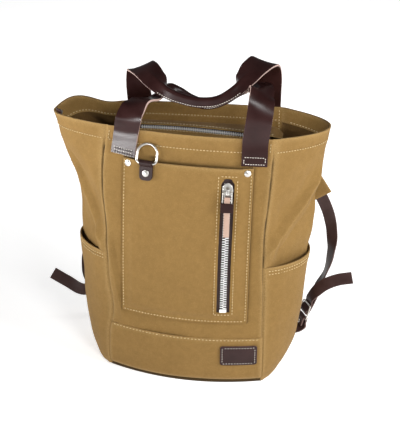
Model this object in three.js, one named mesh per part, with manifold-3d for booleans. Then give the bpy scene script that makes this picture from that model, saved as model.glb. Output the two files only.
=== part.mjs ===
// Canvas tote backpack with leather handles, a patch pocket with a zip, and shoulder straps.
// Millimetres. X to the right, Y to the back, Z up, origin at the middle of the base.
import * as THREE from "three";
import { mergeVertices } from "three/addons/utils/BufferGeometryUtils.js";
import Module from "manifold-3d";

const wasm = await Module();
wasm.setup();

// Driving dimensions
const CANVAS = 2.0;
const POCKET_CANVAS = 1.6;
const HANDLE_LEATHER = 3.0;
const STRAP_LEATHER = 2.2;
const GAP = 0.3;
const BASE_THICK = 2.4;
const RIM_HEIGHT = 396;
const EAR_DROP_LEFT = 7;
const EAR_DROP_RIGHT = 9;
const BAND_TOP = 83;
const POCKET_HALF = 94;
const POCKET_LOW = 112;
const POCKET_TOP = 354.5;
const POCKET_DEPTH = 7.5;
const POCKET_BULGE = 3;
const SIDE_POCKET_TOP = 200;
const SIDE_POCKET_SLACK = 1.5;
const ZIP_X = 60;
const ZIP_SLOT_HALF = 9.4;
const ZIP_SLOT_LOW = 132;
const ZIP_SLOT_TOP = 339;
const ZIP_TAPE_HALF = 13;
const TOOTH_PITCH = 6;
const TOOTH_HALF = 5.6;
const TOOTH_ROOT_HALF = 3.6;
const CHAIN_THICK = 2.4;
const TOP_ZIP_Y = -6;
const TOP_ZIP_Z = 377;
const TOP_ZIP_ARCH = 5;
const TOP_CHAIN = 140;
const TOP_CHAIN_END = 88;
const FLANGE_HALF = 116;
const HANDLE_WIDTH = 36.5;
const HANDLE_END = 357.5;
const HANDLE_X = 94.5;
const GRIP_FOLD_RADIUS = 3;
const GRIP_TRIM = 0.2;
const STRAP_WIDTH = 19;
const PAD_WIDTH = 38;
const PAD_CANVAS = 3;
const RIVET_RADIUS = 5;
const RIVET_HEIGHT = 2.6;
const RING_WIRE = 3.6;
const RING_HALF = 14.7;
const RING_RISE = 27.6;
const RING_X = -57.5;
const RING_LEAN = -19;
const LABEL_WIDTH = 54;
const LABEL_HEIGHT = 34;
const LABEL_X = 84;
const LABEL_LOW = 37;
const LABEL_THICK = 1.8;
const TAB_LEATHER = 1.8;
const POCKET_RIVET_X = 86;
const POCKET_RIVET_DROP = 7;
const RING_DROP = 12;
const HANDLE_BACK_LEFT = -96;
const HANDLE_BACK_RIGHT = 94;
const FLANGE_THICK = 1.6;
const FLANGE_FRONT_Z = 371;
const FLANGE_BACK_Z = 363;
const FLANGE_BACK_HALF = 111;
const TOP_TAPE_LEFT = -88;
const TOP_TAPE_RIGHT = 108;
const TAPE_THICK = 1;
const TOP_TAPE_DROP = 1.4;
const TOP_SLIDER_X = 98;
const SIDE_POCKET_OPEN = 110;
const SNAP_RADIUS = 4.6;
const SNAP_HEIGHT = 2;
const SNAP_U = 0.56;
const SNAP_Z = 388;

// Body sections from the floor to the rim. Front and back hold the seams, side holds the crease.
const SECTION_COLUMNS = [
  "height", "seamLeft", "seamRight", "frontY", "frontBow", "sideHalf", "sideShift", "sideY",
  "backHalf", "backY", "twist", "round",
];
const BODY_SECTIONS = [
  [0, -117, 117, -60, 22, 141, -8, 4, 116, 72, 0, 0.8],
  [25, -118, 118, -63, 22, 152, -6, 3, 119, 74, 0, 0.75],
  [60, -117, 118, -66, 21, 161, -4, 2, 121, 75, 0, 0.55],
  [105, -111, 117, -67, 20, 166, -3, 2, 121, 75, 0, 0.4],
  [160, -117, 116, -67, 17, 168, -2, 3, 121, 75, 0.5, 0.3],
  [200, -118, 114, -67, 15, 171, -1.5, 3, 121, 75, 1, 0.25],
  [260, -122, 114, -63, 13, 176, -0.5, 6, 120, 73, 2.5, 0.3],
  [300, -126, 117, -60, 11, 179, -1, 8, 119, 70, 4, 0.4],
  [345, -126, 119, -54, 11, 191, -8, 15, 117, 66, 8, 0.6],
  [396, -120.5, 120.5, -48, 12, 203, -12, 24, 116, 62, 12, 1],
];
const SECTION_AT = Object.fromEntries(SECTION_COLUMNS.map((name, k) => [name, k]));

// Waves of the rim, by gusset side and place between the front seam and the back seam.
const RIM_WAVES = [
  { side: -1, u: 0.76, rise: 13, spread: 0.15 },
  { side: -1, u: 0.93, rise: -4, spread: 0.07 },
];

// Slanting folds of the gussets, from the crease under the ear down to the front seam.
const EAR_FOLDS = [
  { side: -1, topU: 0.5, topHeight: 318, lowU: 0.04, lowHeight: 215, depth: 5, spread: 16 },
  { side: 1, topU: 0.5, topHeight: 312, lowU: 0.04, lowHeight: 225, depth: 5, spread: 16 },
];

// Handle courses from the left end to the right end: centre, width direction and fold of the grip.
const HANDLE_FRONT = [
  { x: -86, y: -61, z: 412, wx: -1, wy: 0.05, wz: 0, fold: 0 },
  { x: -82, y: -55, z: 425, wx: -0.96, wy: 0.25, wz: 0.1, fold: 0 },
  { x: -74, y: -40, z: 434, wx: -0.82, wy: 0.55, wz: -0.15, fold: 0 },
  { x: -61, y: -10, z: 430, wx: -0.6, wy: 0.75, wz: -0.28, fold: 0.1 },
  { x: -43, y: 14, z: 441, wx: -0.2, wy: 0.97, wz: -0.05, fold: 0.3 },
  { x: -27, y: 15, z: 436, wx: -0.1, wy: 1, wz: 0, fold: 0.8 },
  { x: -9, y: 19, z: 424, wx: 0, wy: 1, wz: 0, fold: 1 },
  { x: 12, y: 20, z: 419, wx: 0, wy: 1, wz: 0, fold: 1 },
  { x: 34, y: 18, z: 428, wx: 0, wy: 1, wz: 0, fold: 1 },
  { x: 56, y: 17, z: 445, wx: 0.1, wy: 0.97, wz: 0.1, fold: 0.8 },
  { x: 73, y: 11, z: 454.5, wx: 0.25, wy: 0.93, wz: 0.2, fold: 0.4 },
  { x: 91, y: -9.5, z: 458, wx: 0.65, wy: 0.7, wz: 0.15, fold: 0.1 },
  { x: 98, y: -35, z: 459, wx: 0.8, wy: 0.3, wz: -0.45, fold: 0 },
  { x: 100, y: -49, z: 451, wx: 0.92, wy: 0.1, wz: -0.35, fold: 0 },
  { x: 99, y: -59, z: 428, wx: 1, wy: 0.05, wz: -0.08, fold: 0 },
];
const HANDLE_BACK = [
  { x: -97, y: 50, z: 421, wx: 1, wy: 0, wz: 0, fold: 0 },
  { x: -95, y: 46, z: 443, wx: 0.98, wy: 0.1, wz: 0.1, fold: 0 },
  { x: -89, y: 32, z: 457, wx: 0.9, wy: 0.2, wz: 0.4, fold: 0 },
  { x: -76, y: 10, z: 462, wx: 0.78, wy: 0.5, wz: 0.4, fold: 0 },
  { x: -58, y: -11, z: 458, wx: 0.5, wy: 0.75, wz: 0.4, fold: 0.2 },
  { x: -36, y: -22, z: 448, wx: 0.2, wy: 0.95, wz: 0.2, fold: 0.8 },
  { x: -13, y: -24, z: 441, wx: 0, wy: 1, wz: 0, fold: 1 },
  { x: 11, y: -25, z: 439, wx: 0, wy: 1, wz: 0, fold: 1 },
  { x: 33, y: -24, z: 443, wx: 0, wy: 1, wz: 0, fold: 1 },
  { x: 52, y: -20, z: 455, wx: -0.15, wy: 0.97, wz: 0.15, fold: 0.8 },
  { x: 68, y: -9, z: 469, wx: -0.45, wy: 0.8, wz: 0.35, fold: 0.2 },
  { x: 80, y: 8, z: 478, wx: -0.75, wy: 0.55, wz: 0.3, fold: 0 },
  { x: 89, y: 27, z: 481, wx: -0.93, wy: 0.2, wz: 0.25, fold: 0 },
  { x: 94, y: 44, z: 472, wx: -1, wy: 0, wz: 0.15, fold: 0 },
  { x: 96, y: 57, z: 450, wx: -1, wy: 0, wz: 0, fold: 0 },
  { x: 95, y: 67, z: 424, wx: -1, wy: 0, wz: 0, fold: 0 },
];

// Sewn ends of the shoulder straps on the back panel
const PAD_SEAT = [
  { x: 42, z: 344 },
  { x: 58, z: 336 },
];

// Canvas upper part of the shoulder straps, from the yoke outward. The left one is its mirror.
const PAD_COURSE = [
  { x: 88, y: 86, z: 321, wx: 0.62, wy: 0, wz: 0.78 },
  { x: 122, y: 96, z: 301, wx: 0.7, wy: 0, wz: 0.71 },
  { x: 155, y: 106, z: 271, wx: 0.8, wy: 0, wz: 0.6 },
  { x: 177, y: 110, z: 238, wx: 0.84, wy: 0, wz: 0.54 },
];

// Leather shoulder straps from the canvas down to the buckle, and the free tails from it.
const STRAP_COURSE = {
  right: [
    { x: 165, y: 111.5, z: 257, wx: 0.82, wy: 0, wz: 0.57 },
    { x: 177, y: 113.4, z: 238, wx: 0.85, wy: 0, wz: 0.52 },
    { x: 190, y: 119, z: 206, wx: 0.95, wy: -0.1, wz: 0.3 },
    { x: 197, y: 124, z: 168, wx: 0.92, wy: -0.35, wz: 0.1 },
    { x: 197, y: 123, z: 135, wx: 0.6, wy: -0.75, wz: 0.25 },
    { x: 191, y: 120, z: 103, wx: 0.35, wy: -0.85, wz: 0.4 },
    { x: 181, y: 111, z: 81, wx: 0.5, wy: -0.8, wz: 0.2 },
  ],
  left: [
    { x: -165, y: 111.5, z: 257, wx: -0.82, wy: 0, wz: 0.57 },
    { x: -177, y: 113.4, z: 238, wx: -0.85, wy: 0, wz: 0.52 },
    { x: -184, y: 119, z: 203, wx: -0.95, wy: -0.1, wz: 0.3 },
    { x: -189, y: 124, z: 160, wx: -0.96, wy: -0.2, wz: 0.1 },
    { x: -195, y: 122, z: 118, wx: -0.75, wy: -0.6, wz: -0.1 },
    { x: -200, y: 116, z: 82, wx: -0.68, wy: -0.5, wz: -0.4 },
    { x: -194, y: 105, z: 56, wx: -0.55, wy: -0.35, wz: -0.7 },
  ],
};
const TAIL_COURSE = {
  right: [
    { x: 188.5, y: 98, z: 87, wx: 0.45, wy: -0.4, wz: -0.75 },
    { x: 211, y: 100, z: 100, wx: 0.3, wy: -0.3, wz: -0.9 },
    { x: 235, y: 102, z: 106, wx: 0.15, wy: -0.3, wz: -0.93 },
  ],
  left: [
    { x: -202, y: 89, z: 39.6, wx: -0.3, wy: -0.28, wz: -0.9 },
    { x: -228, y: 90, z: 51.5, wx: -0.38, wy: -0.44, wz: -0.8 },
    { x: -252, y: 90, z: 64, wx: -0.39, wy: -0.48, wz: -0.79 },
  ],
};

// Buckle places: centre, the way the strap runs up from it, and the way its bars lie.
const BUCKLES = {
  right: { x: 164, y: 92, z: 45, ax: 0.15, ay: 0.15, az: 0.97, wx: 0.55, wy: -0.83, wz: -0.1 },
  left: { x: -157, y: 91, z: 35, ax: -0.85, ay: 0.2, az: 0.35, wx: -0.4, wy: -0.26, wz: -0.85 },
};

// Lower straps from the riveted loop to the low corners of the back panel
const LOWER_COURSE = {
  right: [
    { x: 162, y: 93, z: 17, wx: 0.5, wy: -0.85, wz: -0.15 },
    { x: 150, y: 91, z: 11, wx: 0.35, wy: -0.7, wz: -0.6 },
    { x: 130, y: 84, z: 14, wx: 0.15, wy: -0.2, wz: -0.95 },
  ],
  left: [
    { x: -138, y: 84, z: 23, wx: -0.6, wy: -0.3, wz: -0.75 },
    { x: -128, y: 83, z: 18, wx: -0.35, wy: -0.1, wz: -0.93 },
    { x: -114, y: 79.5, z: 17, wx: -0.15, wy: 0, wz: -1 },
  ],
};
const LOWER_SEAT = [104, 90];
const LOWER_SEAT_HEIGHT = 17;
const LOWER_RIVET_RADIUS = 3.6;
const LOWER_RIVET_HEIGHT = 2;
const LOOP_END = 12;
const LOOP_RIVET = 7.5;
const BUCKLE_PITCH = 13;
const BUCKLE_WIRE = 2.4;
const BUCKLE_HALF = 11.6;

// Colours and finishes
const LOOKS = {
  canvas: { color: 0xb08f56, roughness: 0.9, metalness: 0 },
  leather: { color: 0x3c2a29, roughness: 0.45, metalness: 0 },
  paleLeather: { color: 0xcda591, roughness: 0.6, metalness: 0 },
  tape: { color: 0x33221f, roughness: 0.85, metalness: 0 },
  metal: { color: 0xc9c8c6, roughness: 0.25, metalness: 1 },
};

const root = new THREE.Group();
root.name = "canvas_backpack";

// Adds one named piece.
function piece(name, geometry, look, parent = root) {
  const material = new THREE.MeshStandardMaterial(LOOKS[look]);
  const mesh = new THREE.Mesh(geometry, material);
  mesh.name = name;
  parent.add(mesh);
  return mesh;
}

function bare(geometry) {
  const copy = geometry.clone();
  for (const key of Object.keys(copy.attributes)) {
    if (key !== "position") copy.deleteAttribute(key);
  }
  return mergeVertices(copy, 1e-4);
}

// Bends a finely divided box onto a wall: place gets u, v and w from 0 to 1.
function wall(uSteps, vSteps, wSteps, place) {
  const box = bare(new THREE.BoxGeometry(1, 1, 1, uSteps, vSteps, wSteps));
  const spots = box.attributes.position;
  for (let i = 0; i < spots.count; i += 1) {
    const u = spots.getX(i) + 0.5;
    const v = spots.getY(i) + 0.5;
    const w = spots.getZ(i) + 0.5;
    const p = place(u, v, w);
    spots.setXYZ(i, p.x, p.y, p.z);
  }
  return box;
}

function toManifold(geometry) {
  const g = bare(geometry);
  const mesh = new wasm.Mesh({
    numProp: 3,
    vertProperties: Float32Array.from(g.attributes.position.array),
    triVerts: Uint32Array.from(g.index.array),
  });
  mesh.merge();
  return new wasm.Manifold(mesh);
}

function fromManifold(solid) {
  const mesh = solid.getMesh();
  const g = new THREE.BufferGeometry();
  const spots = new Float32Array(mesh.numVert * 3);
  for (let i = 0; i < mesh.numVert; i += 1) {
    for (let k = 0; k < 3; k += 1) {
      spots[i * 3 + k] = mesh.vertProperties[i * mesh.numProp + k];
    }
  }
  g.setAttribute("position", new THREE.BufferAttribute(spots, 3));
  g.setIndex(new THREE.BufferAttribute(Uint32Array.from(mesh.triVerts), 1));
  return g;
}

function cut(body, ...tools) {
  let solid = toManifold(body);
  for (const tool of tools) solid = solid.subtract(toManifold(tool));
  return fromManifold(solid);
}

function join(...bodies) {
  let solid = toManifold(bodies[0]);
  for (const body of bodies.slice(1)) solid = solid.add(toManifold(body));
  return fromManifold(solid);
}

function common(a, b) {
  return fromManifold(toManifold(a).intersect(toManifold(b)));
}

// Body surfaces from the section table
const sectionCurve = new THREE.CubicInterpolant(
  Float64Array.from(BODY_SECTIONS.map((row) => row[SECTION_AT.height])),
  Float64Array.from(BODY_SECTIONS.flat()),
  SECTION_COLUMNS.length,
);

function section(height) {
  const values = sectionCurve.evaluate(THREE.MathUtils.clamp(height, 0, RIM_HEIGHT));
  return Object.fromEntries(SECTION_COLUMNS.map((name, k) => [name, values[k]]));
}

function frontFace(x, height) {
  const s = section(height);
  const t = (2 * x - s.seamRight - s.seamLeft) / (s.seamRight - s.seamLeft);
  return s.frontY - s.frontBow * (1 - t * t);
}

function backFace(x, height) {
  const s = section(height);
  const t = x / s.backHalf;
  return s.backY + s.twist * t + 3 * (1 - t * t);
}

function onFront(x, height, lift) {
  return new THREE.Vector3(x, frontFace(x, height) - lift, height);
}

function onBack(x, height, lift) {
  return new THREE.Vector3(x, backFace(x, height) + lift, height);
}

// Outline of a gusset at one height, u from the front seam to the back seam.
function gussetOutline(side, u, height, round = section(height).round) {
  const s = section(height);
  const front = new THREE.Vector2(side > 0 ? s.seamRight : s.seamLeft, s.frontY);
  const crease = new THREE.Vector2(side * s.sideHalf + s.sideShift, s.sideY + side * s.twist * 1.3);
  const back = new THREE.Vector2(side * s.backHalf, s.backY + side * s.twist);
  const pull = crease.clone().multiplyScalar(2).sub(front.clone().add(back).multiplyScalar(0.5));
  const curve = new THREE.QuadraticBezierCurve(front, pull, back).getPoint(u);
  const bent = u < 0.5 ? front.clone().lerp(crease, u * 2) : crease.clone().lerp(back, u * 2 - 1);
  return bent.lerp(curve, round);
}

function foldDepth(side, u, height) {
  let depth = 0;
  for (const fold of EAR_FOLDS) {
    if (fold.side !== side) continue;
    const t = (fold.topHeight - height) / (fold.topHeight - fold.lowHeight);
    const along = THREE.MathUtils.clamp(t, 0, 1);
    const lineU = fold.topU + (fold.lowU - fold.topU) * along;
    const away = (u - lineU) * 180;
    const past = Math.max(0, t - 1, -t) * (fold.topHeight - fold.lowHeight);
    const reach = (away * away + past * past) / (fold.spread * fold.spread);
    depth += fold.depth * Math.exp(-reach) * Math.sin(Math.PI * Math.min(1, u * 8));
    depth -= fold.depth * Math.exp(-((away + 26) ** 2 + past * past) / 500) * Math.min(1, u * 8) * 0.8;
  }
  return depth;
}

function onSide(side, u, height, lift, round) {
  const drop = side < 0 ? EAR_DROP_LEFT : EAR_DROP_RIGHT;
  let dip = drop * (1 - (2 * u - 1) ** 2);
  for (const wave of RIM_WAVES) {
    if (wave.side === side) dip -= wave.rise * Math.exp(-(((u - wave.u) / wave.spread) ** 2));
  }
  dip *= (height / RIM_HEIGHT) ** 4;
  const a = gussetOutline(side, Math.max(0, u - 0.01), height, round);
  const b = gussetOutline(side, Math.min(1, u + 0.01), height, round);
  const p = gussetOutline(side, u, height, round);
  const along = b.sub(a).normalize();
  const out = new THREE.Vector2(along.y, -along.x).multiplyScalar(side);
  p.addScaledVector(out, lift + (round === undefined ? foldDepth(side, u, height) : 0));
  return new THREE.Vector3(p.x, p.y, height - dip);
}

// Body panels
const WALL_LOW = BASE_THICK + GAP;
const WALL_STEPS = 14;
const mix = THREE.MathUtils.lerp;

piece("front_panel", wall(10, WALL_STEPS, 1, (u, v, w) => {
  const height = mix(WALL_LOW, RIM_HEIGHT, v);
  const s = section(height);
  return onFront(mix(s.seamLeft, s.seamRight, u), height, (w - 1) * CANVAS);
}), "canvas");

piece("back_panel", wall(8, WALL_STEPS, 1, (u, v, w) => {
  const height = mix(WALL_LOW, RIM_HEIGHT, v);
  const half = section(height).backHalf;
  return onBack(mix(half, -half, u), height, (w - 1) * CANVAS);
}), "canvas");

// Length by which a gusset stands off a seam, so that it clears the edge of the panel there
function seamClear(from, to) {
  const angle = Math.atan2(Math.abs(to.y - from.y), Math.abs(to.x - from.x)) + 0.1;
  const beside = (GAP + CANVAS * Math.sin(angle)) / Math.cos(angle);
  const behind = (GAP + CANVAS * (1 - Math.cos(angle))) / Math.sin(angle);
  return Math.min(beside, behind) + 0.2;
}

function gusset(side, low, top, uSteps, vSteps, thick, lift, round = () => undefined) {
  return wall(uSteps, vSteps, 1, (u, v, w) => {
    const height = mix(low, top, v);
    const front = [gussetOutline(side, 0, height), gussetOutline(side, 0.02, height)];
    const back = [gussetOutline(side, 1, height), gussetOutline(side, 0.98, height)];
    const first = (seamClear(...front) / front[0].distanceTo(front[1])) * 0.02;
    const last = (seamClear(...back) / back[0].distanceTo(back[1])) * 0.02;
    const across = mix(first, 1 - last, side > 0 ? u : 1 - u);
    return onSide(side, across, height, lift(across, height) + (w - 1) * thick, round(height));
  });
}

for (const [name, side] of [["left", -1], ["right", 1]]) {
  piece(`side_gusset_${name}`, gusset(side, WALL_LOW, RIM_HEIGHT, 12, WALL_STEPS, CANVAS, () => 0), "canvas");
  const open = (height) => mix(section(height).round, 1, Math.min(1, height / SIDE_POCKET_OPEN));
  const slack = (u, height) => {
    const share = Math.sin(Math.PI * u) ** 0.8 * (height / SIDE_POCKET_TOP);
    return GAP + 1 + POCKET_CANVAS + SIDE_POCKET_SLACK * share;
  };
  const cloth = gusset(side, WALL_LOW, SIDE_POCKET_TOP, 12, 7, POCKET_CANVAS, slack, open);
  piece(`side_pocket_${name}`, cloth, "canvas");
}

// Base, cut to the outline of the lowest section
function baseOutline() {
  const points = [];
  const steps = 10;
  const foot = section(0);
  for (let i = 0; i <= steps; i += 1) {
    const x = mix(foot.seamLeft, foot.seamRight, i / steps);
    points.push(new THREE.Vector2(x, frontFace(x, 0)));
  }
  for (let i = 1; i < steps; i += 1) {
    const p = onSide(1, i / steps, 0, 0);
    points.push(new THREE.Vector2(p.x, p.y));
  }
  for (let i = 0; i <= steps; i += 1) {
    const x = mix(foot.backHalf, -foot.backHalf, i / steps);
    points.push(new THREE.Vector2(x, backFace(x, 0)));
  }
  for (let i = steps - 1; i > 0; i -= 1) {
    const p = onSide(-1, i / steps, 0, 0);
    points.push(new THREE.Vector2(p.x, p.y));
  }
  return new THREE.Shape(points);
}
const basePlate = new THREE.ExtrudeGeometry(baseOutline(), { depth: BASE_THICK, bevelEnabled: false });
piece("base_panel", basePlate, "canvas");

// Band and bare leather patch low on the front
const bandLift = GAP + POCKET_CANVAS;
piece("front_base_band", wall(12, 4, 1, (u, v, w) => {
  const height = mix(WALL_LOW, BAND_TOP, v);
  const s = section(height);
  return onFront(mix(s.seamLeft, s.seamRight, u), height, bandLift + (w - 1) * POCKET_CANVAS);
}), "canvas");
piece("label_patch", wall(4, 2, 1, (u, v, w) => {
  const x = mix(LABEL_X - LABEL_WIDTH / 2, LABEL_X + LABEL_WIDTH / 2, u);
  return onFront(x, mix(LABEL_LOW, LABEL_LOW + LABEL_HEIGHT, v), bandLift + GAP + w * LABEL_THICK);
}), "leather");

// Patch pocket on the front: a shallow tray, open at the top, with a slot for the zip
function pocketLift(x, height) {
  const across = 1 - (x / POCKET_HALF) ** 2;
  const share = THREE.MathUtils.clamp((height - POCKET_LOW) / (POCKET_TOP - POCKET_LOW), 0, 1);
  const up = Math.sin(Math.PI * share);
  return POCKET_DEPTH + POCKET_BULGE * across * (0.4 + 0.6 * up);
}

function onPocket(x, height, lift) {
  return onFront(x, height, pocketLift(x, height) + lift);
}

function pocketBlock(half, low, top, inner, outer, uSteps, vSteps) {
  return wall(uSteps, vSteps, 1, (u, v, w) => {
    const x = mix(-half, half, u);
    const height = mix(low, top, v);
    const lift = pocketLift(x, height);
    return onFront(x, height, w < 0.5 ? inner(lift) : outer(lift));
  });
}

const pocketOuter = pocketBlock(POCKET_HALF, POCKET_LOW, POCKET_TOP, () => GAP, (lift) => lift, 10, 10);
const pocketHollow = pocketBlock(
  POCKET_HALF - POCKET_CANVAS,
  POCKET_LOW + POCKET_CANVAS,
  POCKET_TOP + 5,
  () => -4,
  (lift) => lift - POCKET_CANVAS,
  10,
  10,
);
const zipSlot = wall(2, 6, 1, (u, v, w) => {
  const x = mix(ZIP_X - ZIP_SLOT_HALF, ZIP_X + ZIP_SLOT_HALF, u);
  return onPocket(x, mix(ZIP_SLOT_LOW, ZIP_SLOT_TOP, v), mix(-4, 4, w));
});
piece("front_pocket", cut(pocketOuter, pocketHollow, zipSlot), "canvas");

// Chain of a closed zip: a strip whose width steps in and out with the teeth
function chain(count, place) {
  const steps = count * 2;
  return wall(1, steps, 1, (u, v, w) => {
    const tooth = Math.round(v * steps) % 2 === 1;
    return place((u * 2 - 1) * (tooth ? TOOTH_HALF : TOOTH_ROOT_HALF), v, w);
  });
}

const tapeLift = -POCKET_CANVAS - GAP;
piece("pocket_zip_tape", wall(2, 8, 1, (u, v, w) => {
  const x = mix(ZIP_X - ZIP_TAPE_HALF, ZIP_X + ZIP_TAPE_HALF, u);
  return onPocket(x, mix(ZIP_SLOT_LOW - 6, ZIP_SLOT_TOP + 6, v), tapeLift - (1 - w) * TAPE_THICK);
}), "tape");
const CHAIN_LOW = ZIP_SLOT_LOW + 6;
const CHAIN_TOP = ZIP_SLOT_TOP - 6;
piece("pocket_zip_teeth", chain(Math.round((CHAIN_TOP - CHAIN_LOW) / TOOTH_PITCH), (across, v, w) => {
  return onPocket(ZIP_X + across, mix(CHAIN_LOW, CHAIN_TOP, v), tapeLift + GAP + w * CHAIN_THICK);
}), "metal");
piece("pocket_zip_stop", wall(1, 1, 1, (u, v, w) => {
  const height = mix(ZIP_SLOT_LOW + 0.6, CHAIN_LOW - 0.6, v);
  return onPocket(ZIP_X + mix(-5, 5, u), height, tapeLift + GAP + w * 3);
}), "metal");

// A frame that lies on a curved face: local X along the face, local Z up it, local Y into it
function faceFrame(surface, x, height, lift) {
  const frame = new THREE.Group();
  const here = surface(x, height, lift);
  const right = surface(x + 4, height, lift).sub(surface(x - 4, height, lift)).normalize();
  const up = surface(x, height + 6, lift).sub(surface(x, height - 6, lift)).normalize();
  const into = up.clone().cross(right).normalize();
  up.copy(right).cross(into);
  frame.matrix.makeBasis(right, into, up).setPosition(here);
  frame.matrixAutoUpdate = false;
  root.add(frame);
  return frame;
}

// Round dome head, its flat side on the local plane Y = 0 and its top towards -Y
function rivetHead(radius, height) {
  const profile = [
    new THREE.Vector2(0, 0),
    new THREE.Vector2(radius, 0),
    new THREE.Vector2(radius, height * 0.35),
    new THREE.Vector2(radius * 0.72, height * 0.85),
    new THREE.Vector2(0, height),
  ];
  return bare(new THREE.LatheGeometry(profile, 10)).rotateX(Math.PI);
}

// Slider and pull of the pocket zip
const SLIDER_HEIGHT = 321;
const PIVOT_OUT = 5.6;
const sliderFrame = faceFrame(onPocket, ZIP_X, SLIDER_HEIGHT, tapeLift + GAP + CHAIN_THICK + 0.5);
function sliderPlate() {
  const outline = new THREE.Shape();
  outline.moveTo(-6, -11);
  outline.lineTo(6, -11);
  outline.lineTo(8.5, 5);
  outline.quadraticCurveTo(8, 11, 0, 11);
  outline.quadraticCurveTo(-8, 11, -8.5, 5);
  outline.closePath();
  const plate = new THREE.ExtrudeGeometry(outline, { depth: 2, bevelEnabled: false, curveSegments: 5 });
  plate.rotateX(Math.PI / 2);
  return plate;
}
// Bridge profile in the plane of local Y and Z, drawn out along X
function sliderBridge() {
  const arch = new THREE.Shape();
  arch.moveTo(-4.6, -0.5);
  arch.lineTo(-4.2, -4.4);
  arch.quadraticCurveTo(0, -8.2, 4.2, -4.4);
  arch.lineTo(4.6, -0.5);
  arch.closePath();
  const eye = new THREE.Path();
  eye.absarc(0, -PIVOT_OUT + 1.5, 1.75, 0, Math.PI * 2, true);
  arch.holes.push(eye);
  const bridge = new THREE.ExtrudeGeometry(arch, { depth: 4, bevelEnabled: false, curveSegments: 6 });
  const turn = new THREE.Matrix4().makeBasis(
    new THREE.Vector3(0, 0, 1),
    new THREE.Vector3(0, 1, 0),
    new THREE.Vector3(-1, 0, 0),
  );
  bridge.translate(0, 0, -2).applyMatrix4(turn);
  return bridge;
}
const PULL_Y = -PIVOT_OUT + 1.5;
piece("pocket_zip_slider", join(sliderPlate(), sliderBridge()), "metal", sliderFrame);

// Pull: a wire arch through the bridge, a leather strip in it and a keeper round both
const archShape = new THREE.Shape();
archShape.moveTo(-7.4, 0.9);
archShape.lineTo(-6.4, 1);
archShape.lineTo(6.4, 1);
archShape.lineTo(7.4, 0);
archShape.lineTo(7.4, -22);
archShape.lineTo(5.6, -22);
archShape.lineTo(5.6, -1);
archShape.lineTo(-5.6, -1);
archShape.lineTo(-5.6, -22);
archShape.lineTo(-7.4, -22);
archShape.closePath();
const pullRing = new THREE.ExtrudeGeometry(archShape, { depth: 1.8, bevelEnabled: false });
pullRing.translate(0, 0, -0.9).rotateX(Math.PI / 2).translate(0, PULL_Y, 0);
piece("pocket_zip_pull_ring", pullRing, "metal", sliderFrame);
const stripShape = new THREE.Shape();
stripShape.moveTo(-4.2, -6.5);
stripShape.lineTo(-4.2, -66);
stripShape.lineTo(4.2, -66);
stripShape.lineTo(4.2, -6.5);
stripShape.closePath();
const pullStrip = new THREE.ExtrudeGeometry(stripShape, { depth: 2, bevelEnabled: false });
pullStrip.translate(0, 0, -1).rotateX(Math.PI / 2).translate(0, PULL_Y, 0);
piece("pocket_zip_pull_strip", pullStrip, "paleLeather", sliderFrame);
const keeperOuter = new THREE.BoxGeometry(18.4, 5.6, 14).translate(0, PULL_Y, -22);
const keeperHole = new THREE.BoxGeometry(15.4, 2.8, 20).translate(0, PULL_Y, -22);
piece("pocket_zip_pull_keeper", cut(keeperOuter, keeperHole), "leather", sliderFrame);

// Closing panel inside the rim, with its zip
function zipLine(x) {
  return TOP_ZIP_Z + TOP_ZIP_ARCH * (1 - (x / FLANGE_HALF) ** 2);
}
piece("top_zip_flange_front", wall(10, 2, 1, (u, v, w) => {
  const x = mix(-FLANGE_HALF, FLANGE_HALF, u);
  const wallY = frontFace(x, FLANGE_FRONT_Z) + CANVAS + GAP * 2;
  const y = mix(wallY, TOP_ZIP_Y - 9, v);
  return new THREE.Vector3(x, y, mix(FLANGE_FRONT_Z, zipLine(x), v) + w * FLANGE_THICK);
}), "canvas");
piece("top_zip_flange_back", wall(10, 3, 1, (u, v, w) => {
  const x = mix(-FLANGE_HALF, FLANGE_HALF, u) * mix(1, FLANGE_BACK_HALF / FLANGE_HALF, v);
  const wallY = backFace(x, FLANGE_BACK_Z) - CANVAS - GAP;
  const y = mix(TOP_ZIP_Y + 9, wallY, v);
  return new THREE.Vector3(x, y, mix(zipLine(x), FLANGE_BACK_Z, v) + w * FLANGE_THICK);
}), "canvas");
piece("top_zip_tape", wall(8, 2, 1, (u, v, w) => {
  const x = mix(TOP_TAPE_LEFT, TOP_TAPE_RIGHT, u);
  const z = zipLine(x) - GAP - TOP_TAPE_DROP - (1 - w) * TAPE_THICK;
  return new THREE.Vector3(x, TOP_ZIP_Y + mix(-ZIP_TAPE_HALF, ZIP_TAPE_HALF, v), z);
}), "tape");
piece("top_zip_teeth", chain(Math.round(TOP_CHAIN / TOOTH_PITCH), (across, v, w) => {
  const x = mix(TOP_CHAIN_END, TOP_CHAIN_END - TOP_CHAIN, v);
  return new THREE.Vector3(x, TOP_ZIP_Y + across, zipLine(x) - TOP_TAPE_DROP + w * CHAIN_THICK);
}), "metal");
const topSlider = new THREE.BoxGeometry(18, 14, 6);
topSlider.translate(TOP_SLIDER_X, TOP_ZIP_Y, zipLine(TOP_SLIDER_X) + CHAIN_THICK);
piece("top_zip_slider", topSlider, "metal");

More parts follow.
